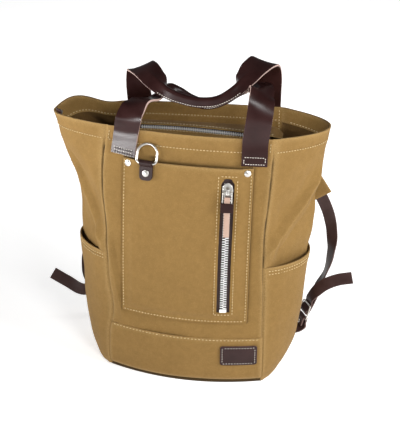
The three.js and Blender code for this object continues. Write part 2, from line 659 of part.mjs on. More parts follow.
// Strap along a course of rows: a box drawn along the curve, turned to the width direction
function strapCurve(rows) {
  const spots = rows.map((r) => new THREE.Vector3(r.x, r.y, r.z));
  const curve = new THREE.CatmullRomCurve3(spots, false, "centripetal");
  curve.arcLengthDivisions = 600;
  const last = rows.length - 1;
  const blend = (t, name) => {
    const at = THREE.MathUtils.clamp(t, 0, 1) * last;
    const i = Math.min(last - 1, Math.floor(at));
    const f = at - i;
    return mix(rows[i][name] ?? 0, rows[i + 1][name] ?? 0, f * f * (3 - 2 * f));
  };
  return (u) => {
    const t = curve.getUtoTmapping(u);
    const centre = curve.getPoint(t);
    const along = curve.getTangent(t);
    const wide = new THREE.Vector3(blend(t, "wx"), blend(t, "wy"), blend(t, "wz"));
    wide.addScaledVector(along, -wide.dot(along)).normalize();
    const out = along.clone().cross(wide).normalize();
    return { centre, wide, out, fold: blend(t, "fold") };
  };
}

function strap(rows, width, thick, lengthSteps, wideSteps) {
  const at = strapCurve(rows);
  return wall(lengthSteps, wideSteps, 1, (u, v, w) => {
    const f = at(u);
    const s = (v - 0.5) * width * (1 - GRIP_TRIM * f.fold);
    const turn = f.fold * Math.PI * 0.48;
    const bend = THREE.MathUtils.clamp(s / GRIP_FOLD_RADIUS, -turn, turn);
    const rest = s - bend * GRIP_FOLD_RADIUS;
    const across = GRIP_FOLD_RADIUS * Math.sin(bend) + rest * Math.cos(bend);
    const drop = GRIP_FOLD_RADIUS * (1 - Math.cos(bend)) + rest * Math.sin(bend);
    const p = f.centre.clone().addScaledVector(f.wide, across).addScaledVector(f.out, -drop);
    const lift = (w - 0.5) * thick;
    p.addScaledVector(f.out, lift * Math.cos(bend));
    return p.addScaledVector(f.wide, lift * Math.sin(bend));
  });
}

// Rows that lie flat on a face, added to both ends of a handle course
function flatRows(surface, x, heights, way) {
  return heights.map((height) => {
    const p = surface(x, height, GAP + 0.9 + HANDLE_LEATHER / 2);
    const across = surface(x + 8, height, 0).sub(surface(x - 8, height, 0)).normalize();
    return { x: p.x, y: p.y, z: p.z, wx: across.x * way, wy: across.y * way, wz: 0, fold: 0 };
  });
}
const UP_ROWS = [HANDLE_END, 375, 392];
const DOWN_ROWS = [392, 375, HANDLE_END];
const frontCourse = [
  ...flatRows(onFront, -HANDLE_X, UP_ROWS, -1),
  ...HANDLE_FRONT,
  ...flatRows(onFront, HANDLE_X, DOWN_ROWS, 1),
];
const backCourse = [
  ...flatRows(onBack, HANDLE_BACK_LEFT, UP_ROWS, 1),
  ...HANDLE_BACK,
  ...flatRows(onBack, HANDLE_BACK_RIGHT, DOWN_ROWS, -1),
];
piece("handle_front", strap(frontCourse, HANDLE_WIDTH, HANDLE_LEATHER, 31, 6), "leather");
piece("handle_back", strap(backCourse, HANDLE_WIDTH, HANDLE_LEATHER, 33, 6), "leather");

// Wire ring: a torus led along a closed outline in the plane of local X and Z
function wireRing(outline, wire, steps, sides) {
  const torus = bare(new THREE.TorusGeometry(20, wire / 2, sides, steps));
  const spots = torus.attributes.position;
  for (let i = 0; i < spots.count; i += 1) {
    const turn = Math.atan2(spots.getY(i), spots.getX(i));
    const away = Math.hypot(spots.getX(i), spots.getY(i)) - 20;
    const t = (((Math.round((turn / (Math.PI * 2)) * steps) / steps) % 1) + 1) % 1;
    const p = outline.getPointAt(t);
    const d = outline.getTangentAt(t);
    spots.setXYZ(i, p.x + d.y * away, p.y - d.x * away, spots.getZ(i));
  }
  return torus;
}

function ringOutline() {
  const bar = RING_HALF - 5;
  const path = new THREE.Path();
  path.moveTo(bar, 0);
  path.absarc(bar, 5, 5, -Math.PI / 2, 0, false);
  path.lineTo(RING_HALF, RING_RISE - RING_HALF);
  path.absarc(0, RING_RISE - RING_HALF, RING_HALF, 0, Math.PI, false);
  path.lineTo(-RING_HALF, 5);
  path.absarc(-bar, 5, 5, Math.PI, Math.PI * 1.5, false);
  path.lineTo(bar, 0);
  return path;
}

// D-ring standing on the pocket edge, in a leather tab with a rivet
const ringFrame = faceFrame(onPocket, RING_X, POCKET_TOP - RING_DROP, 0);
const TAB_WIDTH = 19;
const TAB_LOW = -15;
const TAB_CORNER = 7;
const TAB_BORE = RING_WIRE / 2 + 0.5;
const RING_BAR_Z = 11;
const RING_BAR_Y = -GAP - TAB_LEATHER - TAB_BORE;
const ring = wireRing(ringOutline(), RING_WIRE, 32, 6);
ring.rotateX(Math.PI / 2 + THREE.MathUtils.degToRad(RING_LEAN)).translate(0, RING_BAR_Y, RING_BAR_Z);
piece("d_ring", ring, "metal", ringFrame);

// Tab profile in local Y and Z: two layers flat on the pocket, opening into a loop round the bar
function tabBody() {
  const outer = TAB_BORE + TAB_LEATHER;
  const front = -GAP - TAB_LEATHER * 2;
  const shape = new THREE.Shape();
  shape.moveTo(front, TAB_LOW);
  shape.lineTo(-GAP, TAB_LOW);
  shape.lineTo(-GAP, RING_BAR_Z);
  shape.absarc(RING_BAR_Y, RING_BAR_Z, outer, 0, Math.PI * 1.2, false);
  shape.lineTo(front, RING_BAR_Z - outer - 1.6);
  shape.closePath();
  const bore = new THREE.Path();
  bore.absarc(RING_BAR_Y, RING_BAR_Z, TAB_BORE, 0, Math.PI * 2, true);
  shape.holes.push(bore);
  const body = new THREE.ExtrudeGeometry(shape, { depth: TAB_WIDTH, bevelEnabled: false, curveSegments: 8 });
  const turn = new THREE.Matrix4().makeBasis(
    new THREE.Vector3(0, 1, 0),
    new THREE.Vector3(0, 0, 1),
    new THREE.Vector3(1, 0, 0),
  );
  body.translate(0, 0, -TAB_WIDTH / 2).applyMatrix4(turn);
  const round = new THREE.Shape();
  const half = TAB_WIDTH / 2;
  round.moveTo(-half, 30);
  round.lineTo(-half, TAB_LOW + TAB_CORNER);
  round.quadraticCurveTo(-half, TAB_LOW, TAB_CORNER - half, TAB_LOW);
  round.lineTo(half - TAB_CORNER, TAB_LOW);
  round.quadraticCurveTo(half, TAB_LOW, half, TAB_LOW + TAB_CORNER);
  round.lineTo(half, 30);
  round.closePath();
  const keep = new THREE.ExtrudeGeometry(round, { depth: 40, bevelEnabled: false, curveSegments: 10 });
  keep.translate(0, 0, -20).rotateX(Math.PI / 2);
  return common(body, keep);
}
piece("d_ring_tab", tabBody(), "leather", ringFrame);
const ringRivet = rivetHead(RIVET_RADIUS, RIVET_HEIGHT).translate(0, -GAP * 2 - TAB_LEATHER * 2, -4);
piece("d_ring_rivet", ringRivet, "metal", ringFrame);

for (const [name, side] of [["left", -1], ["right", 1]]) {
  const seat = faceFrame(onPocket, side * POCKET_RIVET_X, POCKET_TOP - POCKET_RIVET_DROP, GAP);
  piece(`pocket_rivet_${name}`, rivetHead(RIVET_RADIUS, RIVET_HEIGHT), "metal", seat);
}

// Snap tab inside the left corner of the mouth
piece("ear_snap_tab", wall(2, 3, 1, (u, v, w) => {
  return onSide(-1, mix(0.42, 0.31, u), mix(372, 402, v), -CANVAS - GAP - 0.6 + (w - 1) * TAB_LEATHER);
}), "leather");
const snapSpot = onSide(-1, SNAP_U, SNAP_Z, -CANVAS - GAP - 2.6);
const snapInner = onSide(-1, SNAP_U, SNAP_Z, -CANVAS - GAP - 6);
const snap = new THREE.Group();
snap.position.copy(snapSpot);
snap.quaternion.setFromUnitVectors(new THREE.Vector3(0, -1, 0), snapInner.sub(snapSpot).normalize());
root.add(snap);
piece("ear_snap_cap", rivetHead(SNAP_RADIUS, SNAP_HEIGHT), "metal", snap);

// Shoulder straps, buckles and lower straps
for (const [name, side] of [["left", -1], ["right", 1]]) {
  const padRows = [
    ...PAD_SEAT.map((r) => {
      const p = onBack(side * r.x, r.z, GAP + 0.7 + PAD_CANVAS / 2);
      const far = onBack(side * (r.x + 6.2), r.z + 7.8, 0);
      const wide = far.sub(onBack(side * (r.x - 6.2), r.z - 7.8, 0)).normalize();
      return { x: p.x, y: p.y, z: p.z, wx: wide.x, wy: wide.y, wz: wide.z };
    }),
    ...PAD_COURSE.map((r) => ({ ...r, x: side * r.x, wx: side * r.wx })),
  ];
  piece(`shoulder_pad_${name}`, strap(padRows, PAD_WIDTH, PAD_CANVAS, 14, 1), "canvas");

  const b = BUCKLES[name];
  const centre = new THREE.Vector3(b.x, b.y, b.z);
  const wide = new THREE.Vector3(b.wx, b.wy, b.wz).normalize();
  const up = new THREE.Vector3(b.ax, b.ay, b.az);
  up.addScaledVector(wide, -up.dot(wide)).normalize();
  const out = up.clone().cross(wide).multiplyScalar(-side).normalize();
  const onBuckle = (a, n) => centre.clone().addScaledVector(up, a).addScaledVector(out, n);
  const row = (a, n) => {
    const p = onBuckle(a, n);
    return { x: p.x, y: p.y, z: p.z, wx: wide.x, wy: wide.y, wz: wide.z };
  };

  // The strap goes behind the top bar, round the middle bar, and back out behind the top bar
  const near = BUCKLE_WIRE / 2 + STRAP_LEATHER / 2 + GAP + 0.6;
  const slant = Math.asin((2 * near) / BUCKLE_PITCH);
  const layer = STRAP_LEATHER + 0.6;
  const wrap = [row(BUCKLE_PITCH + 9, -near - layer - 1.4), row(BUCKLE_PITCH, -near - layer)];
  for (let i = 0; i <= 7; i += 1) {
    const turn = mix(-Math.PI * 0.5, -Math.PI * 1.5 - slant, i / 7);
    wrap.push(row(Math.cos(turn) * near, Math.sin(turn) * near));
  }
  wrap.push(row(BUCKLE_PITCH - Math.sin(slant) * near, -Math.cos(slant) * near));
  wrap.push(row(BUCKLE_PITCH + 1, -near));
  wrap.push(row(BUCKLE_PITCH + 9, -near + 0.6));
  const course = [...STRAP_COURSE[name], ...wrap, ...TAIL_COURSE[name]];
  piece(`shoulder_strap_${name}`, strap(course, STRAP_WIDTH, STRAP_LEATHER, 60, 1), "leather");

  const basis = new THREE.Group();
  const right = wide.clone();
  const into = right.clone().cross(up).multiplyScalar(-1);
  basis.matrix.makeBasis(right, into, up).setPosition(centre);
  basis.matrixAutoUpdate = false;
  root.add(basis);
  const frame = new THREE.Path();
  const high = BUCKLE_PITCH;
  frame.moveTo(BUCKLE_HALF - 3, -high);
  frame.absarc(BUCKLE_HALF - 3, -high + 3, 3, -Math.PI / 2, 0, false);
  frame.absarc(BUCKLE_HALF - 3, high - 3, 3, 0, Math.PI / 2, false);
  frame.absarc(-BUCKLE_HALF + 3, high - 3, 3, Math.PI / 2, Math.PI, false);
  frame.absarc(-BUCKLE_HALF + 3, -high + 3, 3, Math.PI, Math.PI * 1.5, false);
  frame.lineTo(BUCKLE_HALF - 3, -high);
  const wireFrame = wireRing(frame, BUCKLE_WIRE, 24, 6).rotateX(Math.PI / 2);
  const middle = new THREE.CylinderGeometry(BUCKLE_WIRE / 2, BUCKLE_WIRE / 2, BUCKLE_HALF * 2, 8);
  middle.rotateZ(Math.PI / 2);
  piece(`buckle_${name}`, join(wireFrame, middle), "metal", basis);

  // Lower strap: a riveted loop round the bottom bar, then down and inward to the back panel
  const nearLow = near + 0.2;
  const loop = [row(-BUCKLE_PITCH - LOOP_END, nearLow), row(-BUCKLE_PITCH - LOOP_RIVET, nearLow)];
  for (let i = 0; i <= 4; i += 1) {
    const turn = mix(Math.PI * 0.6, -Math.PI * 0.6, i / 4);
    loop.push(row(-BUCKLE_PITCH + Math.cos(turn) * nearLow, Math.sin(turn) * nearLow));
  }
  const seatRows = LOWER_SEAT.map((x) => {
    const p = onBack(side * x, LOWER_SEAT_HEIGHT, GAP + 0.7 + STRAP_LEATHER / 2);
    return { x: p.x, y: p.y, z: p.z, wx: side * 0.05, wy: 0, wz: -1 };
  });
  const lowerRows = [...loop, row(-BUCKLE_PITCH - LOOP_RIVET, -nearLow), ...LOWER_COURSE[name], ...seatRows];
  piece(`lower_strap_${name}`, strap(lowerRows, STRAP_WIDTH, STRAP_LEATHER, 30, 1), "leather");
  const rivet = rivetHead(LOWER_RIVET_RADIUS, LOWER_RIVET_HEIGHT);
  const seat = new THREE.Matrix4();
  seat.makeBasis(wide.clone().multiplyScalar(side), out.clone().multiplyScalar(-1), up);
  seat.setPosition(onBuckle(-BUCKLE_PITCH - LOOP_RIVET, nearLow + STRAP_LEATHER / 2 + GAP));
  piece(`lower_rivet_${name}`, rivet.applyMatrix4(seat), "metal");
}

export default root;
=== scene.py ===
"""Canvas tote backpack: cloth, leather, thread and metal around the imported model.

Tables and surface functions are in millimetres in the model's frame. Meshes are in metres.
"""
import math

import bmesh
import bpy
import numpy as np
from mathutils import Matrix, Vector


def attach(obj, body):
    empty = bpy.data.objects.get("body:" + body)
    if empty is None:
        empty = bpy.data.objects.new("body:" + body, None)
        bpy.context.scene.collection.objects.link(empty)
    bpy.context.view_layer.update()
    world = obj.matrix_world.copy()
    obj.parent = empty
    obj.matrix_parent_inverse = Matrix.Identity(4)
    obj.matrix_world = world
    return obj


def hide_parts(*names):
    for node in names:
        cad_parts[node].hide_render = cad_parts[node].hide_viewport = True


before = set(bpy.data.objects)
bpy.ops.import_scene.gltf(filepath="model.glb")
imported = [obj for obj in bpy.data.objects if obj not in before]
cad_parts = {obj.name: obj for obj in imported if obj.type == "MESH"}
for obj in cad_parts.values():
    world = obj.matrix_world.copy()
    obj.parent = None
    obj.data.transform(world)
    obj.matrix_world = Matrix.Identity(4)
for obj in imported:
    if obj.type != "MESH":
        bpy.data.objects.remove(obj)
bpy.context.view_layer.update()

MM = 0.001

# Cloth and leather thicknesses
CANVAS = 2.0
POCKET_CANVAS = 1.6
HEM_FOLD = 1.3
HANDLE_LEATHER = 3.0
STRAP_LEATHER = 2.2
PAD_CANVAS = 3.0
GAP = 0.3

# Sizes of the body, pockets, zips, straps and hardware
BASE_THICK = 2.4
BASE_INSET = 2.6
BASE_LOW = 0.4
BASE_EDGE = 6
WALL_LOW = BASE_THICK + GAP
RIM_HEIGHT = 396
HEM_DEPTH = 20
HEM_LINE = RIM_HEIGHT - HEM_DEPTH
HEM_LAP = 3
HEM_SET = 0.6
EAR_DROP = {-1: 7, 1: 9}
GUSSET_RUN = 190
FOLD_RUN = 180
BAND_TOP = 83
BAND_LOW = 6.5
POCKET_HALF = 94
POCKET_LOW = 112
POCKET_TOP = 354.5
POCKET_DEPTH = 7.5
POCKET_BULGE = 3
POCKET_LIP = 4.6
SIDE_POCKET_TOP = 200
SIDE_POCKET_SLACK = 1.5
SIDE_POCKET_RUN = 170
ZIP_X = 60
ZIP_SLOT_HALF = 9.4
ZIP_SLOT_LOW = 132
ZIP_SLOT_TOP = 339
ZIP_TAPE_HALF = 13
ZIP_TAPE_THICK = 1
ZIP_END = 6
TEETH_COUNT = 104
TOOTH_SHARE = 0.76
TOOTH_ALONG = 1.15
TOOTH_DEPTH = 2.4
POCKET_CHAIN_HALF = 4.7
TOP_CHAIN_HALF = 4.6
TOP_CHAIN_ENDS = (-80, 90)
TOP_TAPE_ENDS = (-88, 108)
TOP_ZIP_Y = -6
TOP_ZIP_Z = 377
TOP_ZIP_ARCH = 5
FLANGE_HALF = 116
FLANGE_BACK_HALF = 111
FLANGE_FRONT_Z = 371
FLANGE_BACK_Z = 363
FLANGE_CANVAS = 1.4
FLANGE_LIFT = 1.6
HANDLE_WIDTH = 36.5
HANDLE_END = 357.5
HANDLE_X = 94.5
BACK_HANDLE_X = (-96, 94)
HANDLE_LEAN = 0.12
HANDLE_SEAT = GAP + 0.9
GRIP_FOLD_RADIUS = 3
GRIP_TRIM = 0.2
STRAP_WIDTH = 19
STRAP_SEAT = GAP + 0.7
PAD_WIDTH = 38
LABEL_WIDTH = 54
LABEL_HEIGHT = 34
LABEL_X = 84
LABEL_LOW = 37
LABEL_CORNER = 4
LABEL_LEATHER = 1.8
RIVET_RADIUS = 5
RIVET_HEIGHT = 2.6
POCKET_RIVET_X = 86
POCKET_RIVET_DROP = 7
RING_WIRE = 3.6
RING_HALF = 14.7
RING_RISE = 27.6
RING_X = -57.5
RING_LEAN = -19
RING_DROP = 12
RING_CORNER = 5
RING_RIVET_Z = -4
BUCKLE_PITCH = 13
BUCKLE_WIRE = 2.4
BUCKLE_NEAR = BUCKLE_WIRE / 2 + STRAP_LEATHER / 2 + GAP + 0.6
LOOP_END = 12
LOOP_RIVET = 7.5
LOWER_SEAT = (104, 90)
LOWER_SEAT_HEIGHT = 17
BUCKLE_HALF = 11.6
BUCKLE_CORNER = 3

# Body sections from the floor to the rim, as in the model
SECTION_COLUMNS = (
    "height", "seam_left", "seam_right", "front_y", "front_bow", "side_half", "side_shift",
    "side_y", "back_half", "back_y", "twist", "round",
)
BODY_SECTIONS = np.array([
    (0, -117, 117, -60, 22, 141, -8, 4, 116, 72, 0, 0.8),
    (25, -118, 118, -63, 22, 152, -6, 3, 119, 74, 0, 0.75),
    (60, -117, 118, -66, 21, 161, -4, 2, 121, 75, 0, 0.55),
    (105, -111, 117, -67, 20, 166, -3, 2, 121, 75, 0, 0.4),
    (160, -117, 116, -67, 17, 168, -2, 3, 121, 75, 0.5, 0.3),
    (200, -118, 114, -67, 15, 171, -1.5, 3, 121, 75, 1, 0.25),
    (260, -122, 114, -63, 13, 176, -0.5, 6, 120, 73, 2.5, 0.3),
    (300, -126, 117, -60, 11, 179, -1, 8, 119, 70, 4, 0.4),
    (345, -126, 119, -54, 11, 191, -8, 15, 117, 66, 8, 0.6),
    (396, -120.5, 120.5, -48, 12, 203, -12, 24, 116, 62, 12, 1),
], float)

# Waves of the rim: gusset side, place from the front seam to the back seam, rise, spread
RIM_WAVES = ((-1, 0.76, 13, 0.15), (-1, 0.93, -4, 0.07))

# Slanting folds under the ears: side, top u, top height, low u, low height, depth, spread
EAR_FOLDS = (
    (-1, 0.5, 318, 0.04, 215, 5, 16),
    (1, 0.5, 312, 0.04, 225, 5, 16),
)

CREASE_REACH = 17
CREASE_HEIGHT = 5.6

# Strap courses: centre, width direction, fold of the grip
HANDLE_FRONT = (
    (-86, -61, 412, -1, 0.05, 0, 0),
    (-82, -55, 425, -0.96, 0.25, 0.1, 0),
    (-74, -40, 434, -0.82, 0.55, -0.15, 0),
    (-61, -10, 430, -0.6, 0.75, -0.28, 0.1),
    (-43, 14, 441, -0.2, 0.97, -0.05, 0.3),
    (-27, 15, 436, -0.1, 1, 0, 0.8),
    (-9, 19, 424, 0, 1, 0, 1),
    (12, 20, 419, 0, 1, 0, 1),
    (34, 18, 428, 0, 1, 0, 1),
    (56, 17, 445, 0.1, 0.97, 0.1, 0.8),
    (73, 11, 454.5, 0.25, 0.93, 0.2, 0.4),
    (91, -9.5, 458, 0.65, 0.7, 0.15, 0.1),
    (98, -35, 459, 0.8, 0.3, -0.45, 0),
    (100, -49, 451, 0.92, 0.1, -0.35, 0),
    (99, -59, 428, 1, 0.05, -0.08, 0),
)
HANDLE_BACK = (
    (-97, 50, 421, 1, 0, 0, 0),
    (-95, 46, 443, 0.98, 0.1, 0.1, 0),
    (-89, 32, 457, 0.9, 0.2, 0.4, 0),
    (-76, 10, 462, 0.78, 0.5, 0.4, 0),
    (-58, -11, 458, 0.5, 0.75, 0.4, 0.2),
    (-36, -22, 448, 0.2, 0.95, 0.2, 0.8),
    (-13, -24, 441, 0, 1, 0, 1),
    (11, -25, 439, 0, 1, 0, 1),
    (33, -24, 443, 0, 1, 0, 1),
    (52, -20, 455, -0.15, 0.97, 0.15, 0.8),
    (68, -9, 469, -0.45, 0.8, 0.35, 0.2),
    (80, 8, 478, -0.75, 0.55, 0.3, 0),
    (89, 27, 481, -0.93, 0.2, 0.25, 0),
    (94, 44, 472, -1, 0, 0.15, 0),
    (96, 57, 450, -1, 0, 0, 0),
    (95, 67, 424, -1, 0, 0, 0),
)
PAD_SEAT = ((42, 344), (58, 336))
PAD_SLANT = (6.2, 7.8)
PAD_COURSE = (
    (88, 86, 321, 0.62, 0, 0.78),
    (122, 96, 301, 0.7, 0, 0.71),
    (155, 106, 271, 0.8, 0, 0.6),
    (177, 110, 238, 0.84, 0, 0.54),
)
STRAP_COURSE = {
    1: (
        (165, 111.5, 257, 0.82, 0, 0.57),
        (177, 113.4, 238, 0.85, 0, 0.52),
        (190, 119, 206, 0.95, -0.1, 0.3),
        (197, 124, 168, 0.92, -0.35, 0.1),
        (197, 123, 135, 0.6, -0.75, 0.25),
        (191, 120, 103, 0.35, -0.85, 0.4),
        (181, 111, 81, 0.5, -0.8, 0.2),
    ),
    -1: (
        (-165, 111.5, 257, -0.82, 0, 0.57),
        (-177, 113.4, 238, -0.85, 0, 0.52),
        (-184, 119, 203, -0.95, -0.1, 0.3),
        (-189, 124, 160, -0.96, -0.2, 0.1),
        (-195, 122, 118, -0.75, -0.6, -0.1),
        (-200, 116, 82, -0.68, -0.5, -0.4),
        (-194, 105, 56, -0.55, -0.35, -0.7),
    ),
}
TAIL_COURSE = {
    1: (
        (188.5, 98, 87, 0.45, -0.4, -0.75),
        (211, 100, 100, 0.3, -0.3, -0.9),
        (235, 102, 106, 0.15, -0.3, -0.93),
    ),
    -1: (
        (-202, 89, 39.6, -0.3, -0.28, -0.9),
        (-228, 90, 51.5, -0.38, -0.44, -0.8),
        (-252, 90, 64, -0.39, -0.48, -0.79),
    ),
}
LOWER_COURSE = {
    1: (
        (162, 93, 17, 0.5, -0.85, -0.15),
        (150, 91, 11, 0.35, -0.7, -0.6),
        (130, 84, 14, 0.15, -0.2, -0.95),
    ),
    -1: (
        (-138, 84, 23, -0.6, -0.3, -0.75),
        (-128, 83, 18, -0.35, -0.1, -0.93),
        (-114, 79.5, 17, -0.15, 0, -1),
    ),
}
BUCKLES = {
    1: ((164, 92, 45), (0.15, 0.15, 0.97), (0.55, -0.83, -0.1)),
    -1: ((-157, 91, 35), (-0.85, 0.2, 0.35), (-0.4, -0.26, -0.85)),
}
SIDE_NAMES = {-1: "left", 1: "right"}


def mix(a, b, t):
    return a + (b - a) * t


def smooth(t):
    t = np.clip(t, 0, 1)
    return t * t * (3 - 2 * t)


def unit(v):
    v = np.asarray(v, float)
    return v / np.linalg.norm(v, axis=-1, keepdims=True)


# Surfaces of the body

def section(height):
    """The section table's columns at each height, smooth between its rows."""
    rows = BODY_SECTIONS
    steps = rows[:, 0]
    last = len(steps) - 1
    h = np.clip(np.atleast_1d(np.asarray(height, float)), 0, RIM_HEIGHT)
    i1 = np.clip(np.searchsorted(steps, h, side="right"), 1, last)
    i0 = i1 - 1
    before = np.where(i1 == 1, i1, i1 - 2)
    after = np.where(i1 == last, i0, np.minimum(i1 + 1, last))
    t0, t1 = steps[i0], steps[i1]
    lead = 0.5 * (t1 - t0) / (t0 - steps[before])
    trail = 0.5 * (t1 - t0) / (steps[after] - t1)
    p = (h - t0) / (t1 - t0)
    weights = (
        (before, -lead * p**3 + 2 * lead * p**2 - lead * p),
        (i0, (1 + lead) * p**3 + (-1.5 - 2 * lead) * p**2 + (-0.5 + lead) * p + 1),
        (i1, (-1 - trail) * p**3 + (1.5 + trail) * p**2 + 0.5 * p),
        (after, trail * p**3 - trail * p**2),
    )
    values = sum(w[:, None] * rows[i] for i, w in weights)
    return dict(zip(SECTION_COLUMNS, values.T))


def front_face(x, height):
    s = section(height)
    t = (2 * x - s["seam_right"] - s["seam_left"]) / (s["seam_right"] - s["seam_left"])
    return s["front_y"] - s["front_bow"] * (1 - t * t)


def back_face(x, height):
    s = section(height)
    t = x / s["back_half"]
    return s["back_y"] + s["twist"] * t + 3 * (1 - t * t)


def points(x, y, z):
    return np.stack(np.broadcast_arrays(x, y, z), axis=-1).astype(float)


def on_front(x, height, lift):
    x, height = np.broadcast_arrays(np.atleast_1d(x), np.atleast_1d(height))
    return points(x, front_face(x, height) - lift, height)


def on_back(x, height, lift):
    x, height = np.broadcast_arrays(np.atleast_1d(x), np.atleast_1d(height))
    return points(x, back_face(x, height) + lift, height)


def gusset_outline(side, u, height, roundness=None):
    s = section(height)
    roundness = s["round"] if roundness is None else roundness
    seam = s["seam_right"] if side > 0 else s["seam_left"]
    front = np.stack([seam, s["front_y"]], -1)
    crease_x = side * s["side_half"] + s["side_shift"]
    crease = np.stack([crease_x, s["side_y"] + side * s["twist"] * 1.3], -1)
    back = np.stack([side * s["back_half"], s["back_y"] + side * s["twist"]], -1)
    pull = 2 * crease - (front + back) / 2
    u = np.asarray(u, float)[:, None]
    curve = (1 - u) ** 2 * front + 2 * u * (1 - u) * pull + u**2 * back
    bent = np.where(u < 0.5, mix(front, crease, u * 2), mix(crease, back, u * 2 - 1))
    return mix(bent, curve, np.asarray(roundness)[..., None] if np.ndim(roundness) else roundness)


def fold_place(fold, u, height):
    """How far a place lies beside a slanting fold and past its ends, in millimetres."""
    top_u, top_h, low_u, low_h = fold[1:5]
    t = (top_h - height) / (top_h - low_h)
    line = top_u + (low_u - top_u) * np.clip(t, 0, 1)
    return (u - line) * FOLD_RUN, np.maximum(0, np.maximum(t - 1, -t)) * (top_h - low_h)


def fold_depth(side, u, height):
    depth = np.zeros_like(u)
    for fold in EAR_FOLDS:
        where, deep, spread = fold[0], fold[5], fold[6]
        if where != side:
            continue
        away, past = fold_place(fold, u, height)
        edge = np.minimum(1, u * 8)
        depth += deep * np.exp(-(away**2 + past**2) / spread**2) * np.sin(np.pi * edge)
        depth -= deep * 0.8 * np.exp(-((away + 26) ** 2 + past**2) / 500) * edge
        roof = np.maximum(0, 1 - np.sqrt(away**2 + 0.3) / CREASE_REACH)
        depth += CREASE_HEIGHT * roof * np.exp(-((past / 30) ** 2)) * np.minimum(1, u * 12)
    return depth


def on_side(side, u, height, lift, roundness=None):
    u, height = np.broadcast_arrays(np.atleast_1d(u).astype(float), np.atleast_1d(height).astype(float))
    dip = EAR_DROP[side] * (1 - (2 * u - 1) ** 2)
    for where, spot, rise, spread in RIM_WAVES:
        if where == side:
            dip = dip - rise * np.exp(-(((u - spot) / spread) ** 2))
    dip = dip * (height / RIM_HEIGHT) ** 4
    ahead = gusset_outline(side, np.minimum(1, u + 0.01), height, roundness)
    behind = gusset_outline(side, np.maximum(0, u - 0.01), height, roundness)
    along = unit(ahead - behind)
    out = np.stack([along[:, 1], -along[:, 0]], -1) * side
    fold = fold_depth(side, u, height) if roundness is None else 0
    spot = gusset_outline(side, u, height, roundness) + out * np.atleast_1d(lift + fold)[:, None]
    return points(spot[:, 0], spot[:, 1], height - dip)


def pocket_lift(x, height):
    across = 1 - (x / POCKET_HALF) ** 2
    share = np.clip((height - POCKET_LOW) / (POCKET_TOP - POCKET_LOW), 0, 1)
    return POCKET_DEPTH + POCKET_BULGE * across * (0.4 + 0.6 * np.sin(np.pi * share))


def soft_pocket_lift(x, height):
    """The patch pocket's face: low along its sewn edges, full in the middle and at its mouth."""
    inside = np.minimum(POCKET_HALF - np.abs(x), height - POCKET_LOW)
    return mix(POCKET_LIP, pocket_lift(x, height), smooth((inside - 5) / 14))


def on_pocket(x, height, lift):
    return on_front(x, height, pocket_lift(np.atleast_1d(x), np.atleast_1d(height)) + lift)


def on_soft_pocket(x, height, lift):
    return on_front(x, height, soft_pocket_lift(np.atleast_1d(x), np.atleast_1d(height)) + lift)


def zip_line(x):
    return TOP_ZIP_Z + TOP_ZIP_ARCH * (1 - (x / FLANGE_HALF) ** 2)


def ripple(a, b, seed, size):
    """A gentle unevenness of cloth over two lengths in millimetres, from a few crossing waves."""
    draws = np.random.default_rng(seed)
    total = np.zeros(np.broadcast(a, b).shape)
    for length in (150, 95, 62, 41, 27):
        turn = draws.uniform(0, 2 * np.pi)
        start = draws.uniform(0, 2 * np.pi)
        total += length / 150 * np.sin((a * np.cos(turn) + b * np.sin(turn)) * 2 * np.pi / length + start)
    return size * total


def pucker(away, along, size=0.45, reach=7, pitch=10):
    """Small gathers beside a sewn line."""
    beat = np.sin(along * 2 * np.pi / pitch + 1.3 * np.sin(along / 23))
    return size * beat * np.exp(-((away / reach) ** 2))


# Finishes

WAVE_SCALE = 0.31416
THREAD_PITCH = 0.0009


def new_finish(name):
    finish = bpy.data.materials.new(name)
    finish.use_nodes = True
    return finish, finish.node_tree, finish.node_tree.nodes["Principled BSDF"]


def feed(tree, socket, value):
    """Links a node's output to a socket, or sets the socket to a constant."""
    if isinstance(value, bpy.types.NodeSocket):
        tree.links.new(value, socket)
    else:
        socket.default_value = value


def node(tree, kind, inputs=None, **settings):
    made = tree.nodes.new(kind)
    for key, value in settings.items():
        setattr(made, key, value)
    for key, value in (inputs or {}).items():
        feed(tree, made.inputs[key], value)
    return made


def feed_shader(tree, shader, inputs):
    for key, value in inputs.items():
        feed(tree, shader.inputs[key], value)


def own_place(tree):
    return node(tree, "ShaderNodeTexCoord").outputs["Object"]


def painted(tree, name):
    return node(tree, "ShaderNodeAttribute", attribute_name=name).outputs["Fac"]


def relief(tree, height, strength, distance, under=None):
    inputs = {"Height": height, "Strength": strength, "Distance": distance}
    if under is not None:
        inputs["Normal"] = under
    return node(tree, "ShaderNodeBump", inputs).outputs["Normal"]


def ranged(tree, value, low, high, start=0.0, end=1.0):
    inputs = {"Value": value, "From Min": start, "From Max": end, "To Min": low, "To Max": high}
    return node(tree, "ShaderNodeMapRange", inputs).outputs["Result"]


def blended(tree, factor, first, second, way="MIX"):
    made = node(tree, "ShaderNodeMix", data_type="RGBA", blend_type=way)
    for key, value in (("Factor", factor), ("A", first), ("B", second)):
        feed(tree, next(s for s in made.inputs if s.name == key and s.enabled), value)
    return next(s for s in made.outputs if s.enabled)


def combined(tree, first, second, way="MULTIPLY"):
    return node(tree, "ShaderNodeMath", {0: first, 1: second}, operation=way).outputs[0]


def noise(tree, place, scale, detail=3.0, roughness=0.55):
    inputs = {"Vector": place, "Scale": scale, "Detail": detail, "Roughness": roughness}
    return node(tree, "ShaderNodeTexNoise", inputs).outputs["Fac"]


def stretched(tree, place, scale):
    return node(tree, "ShaderNodeMapping", {"Vector": place, "Scale": scale}).outputs["Vector"]


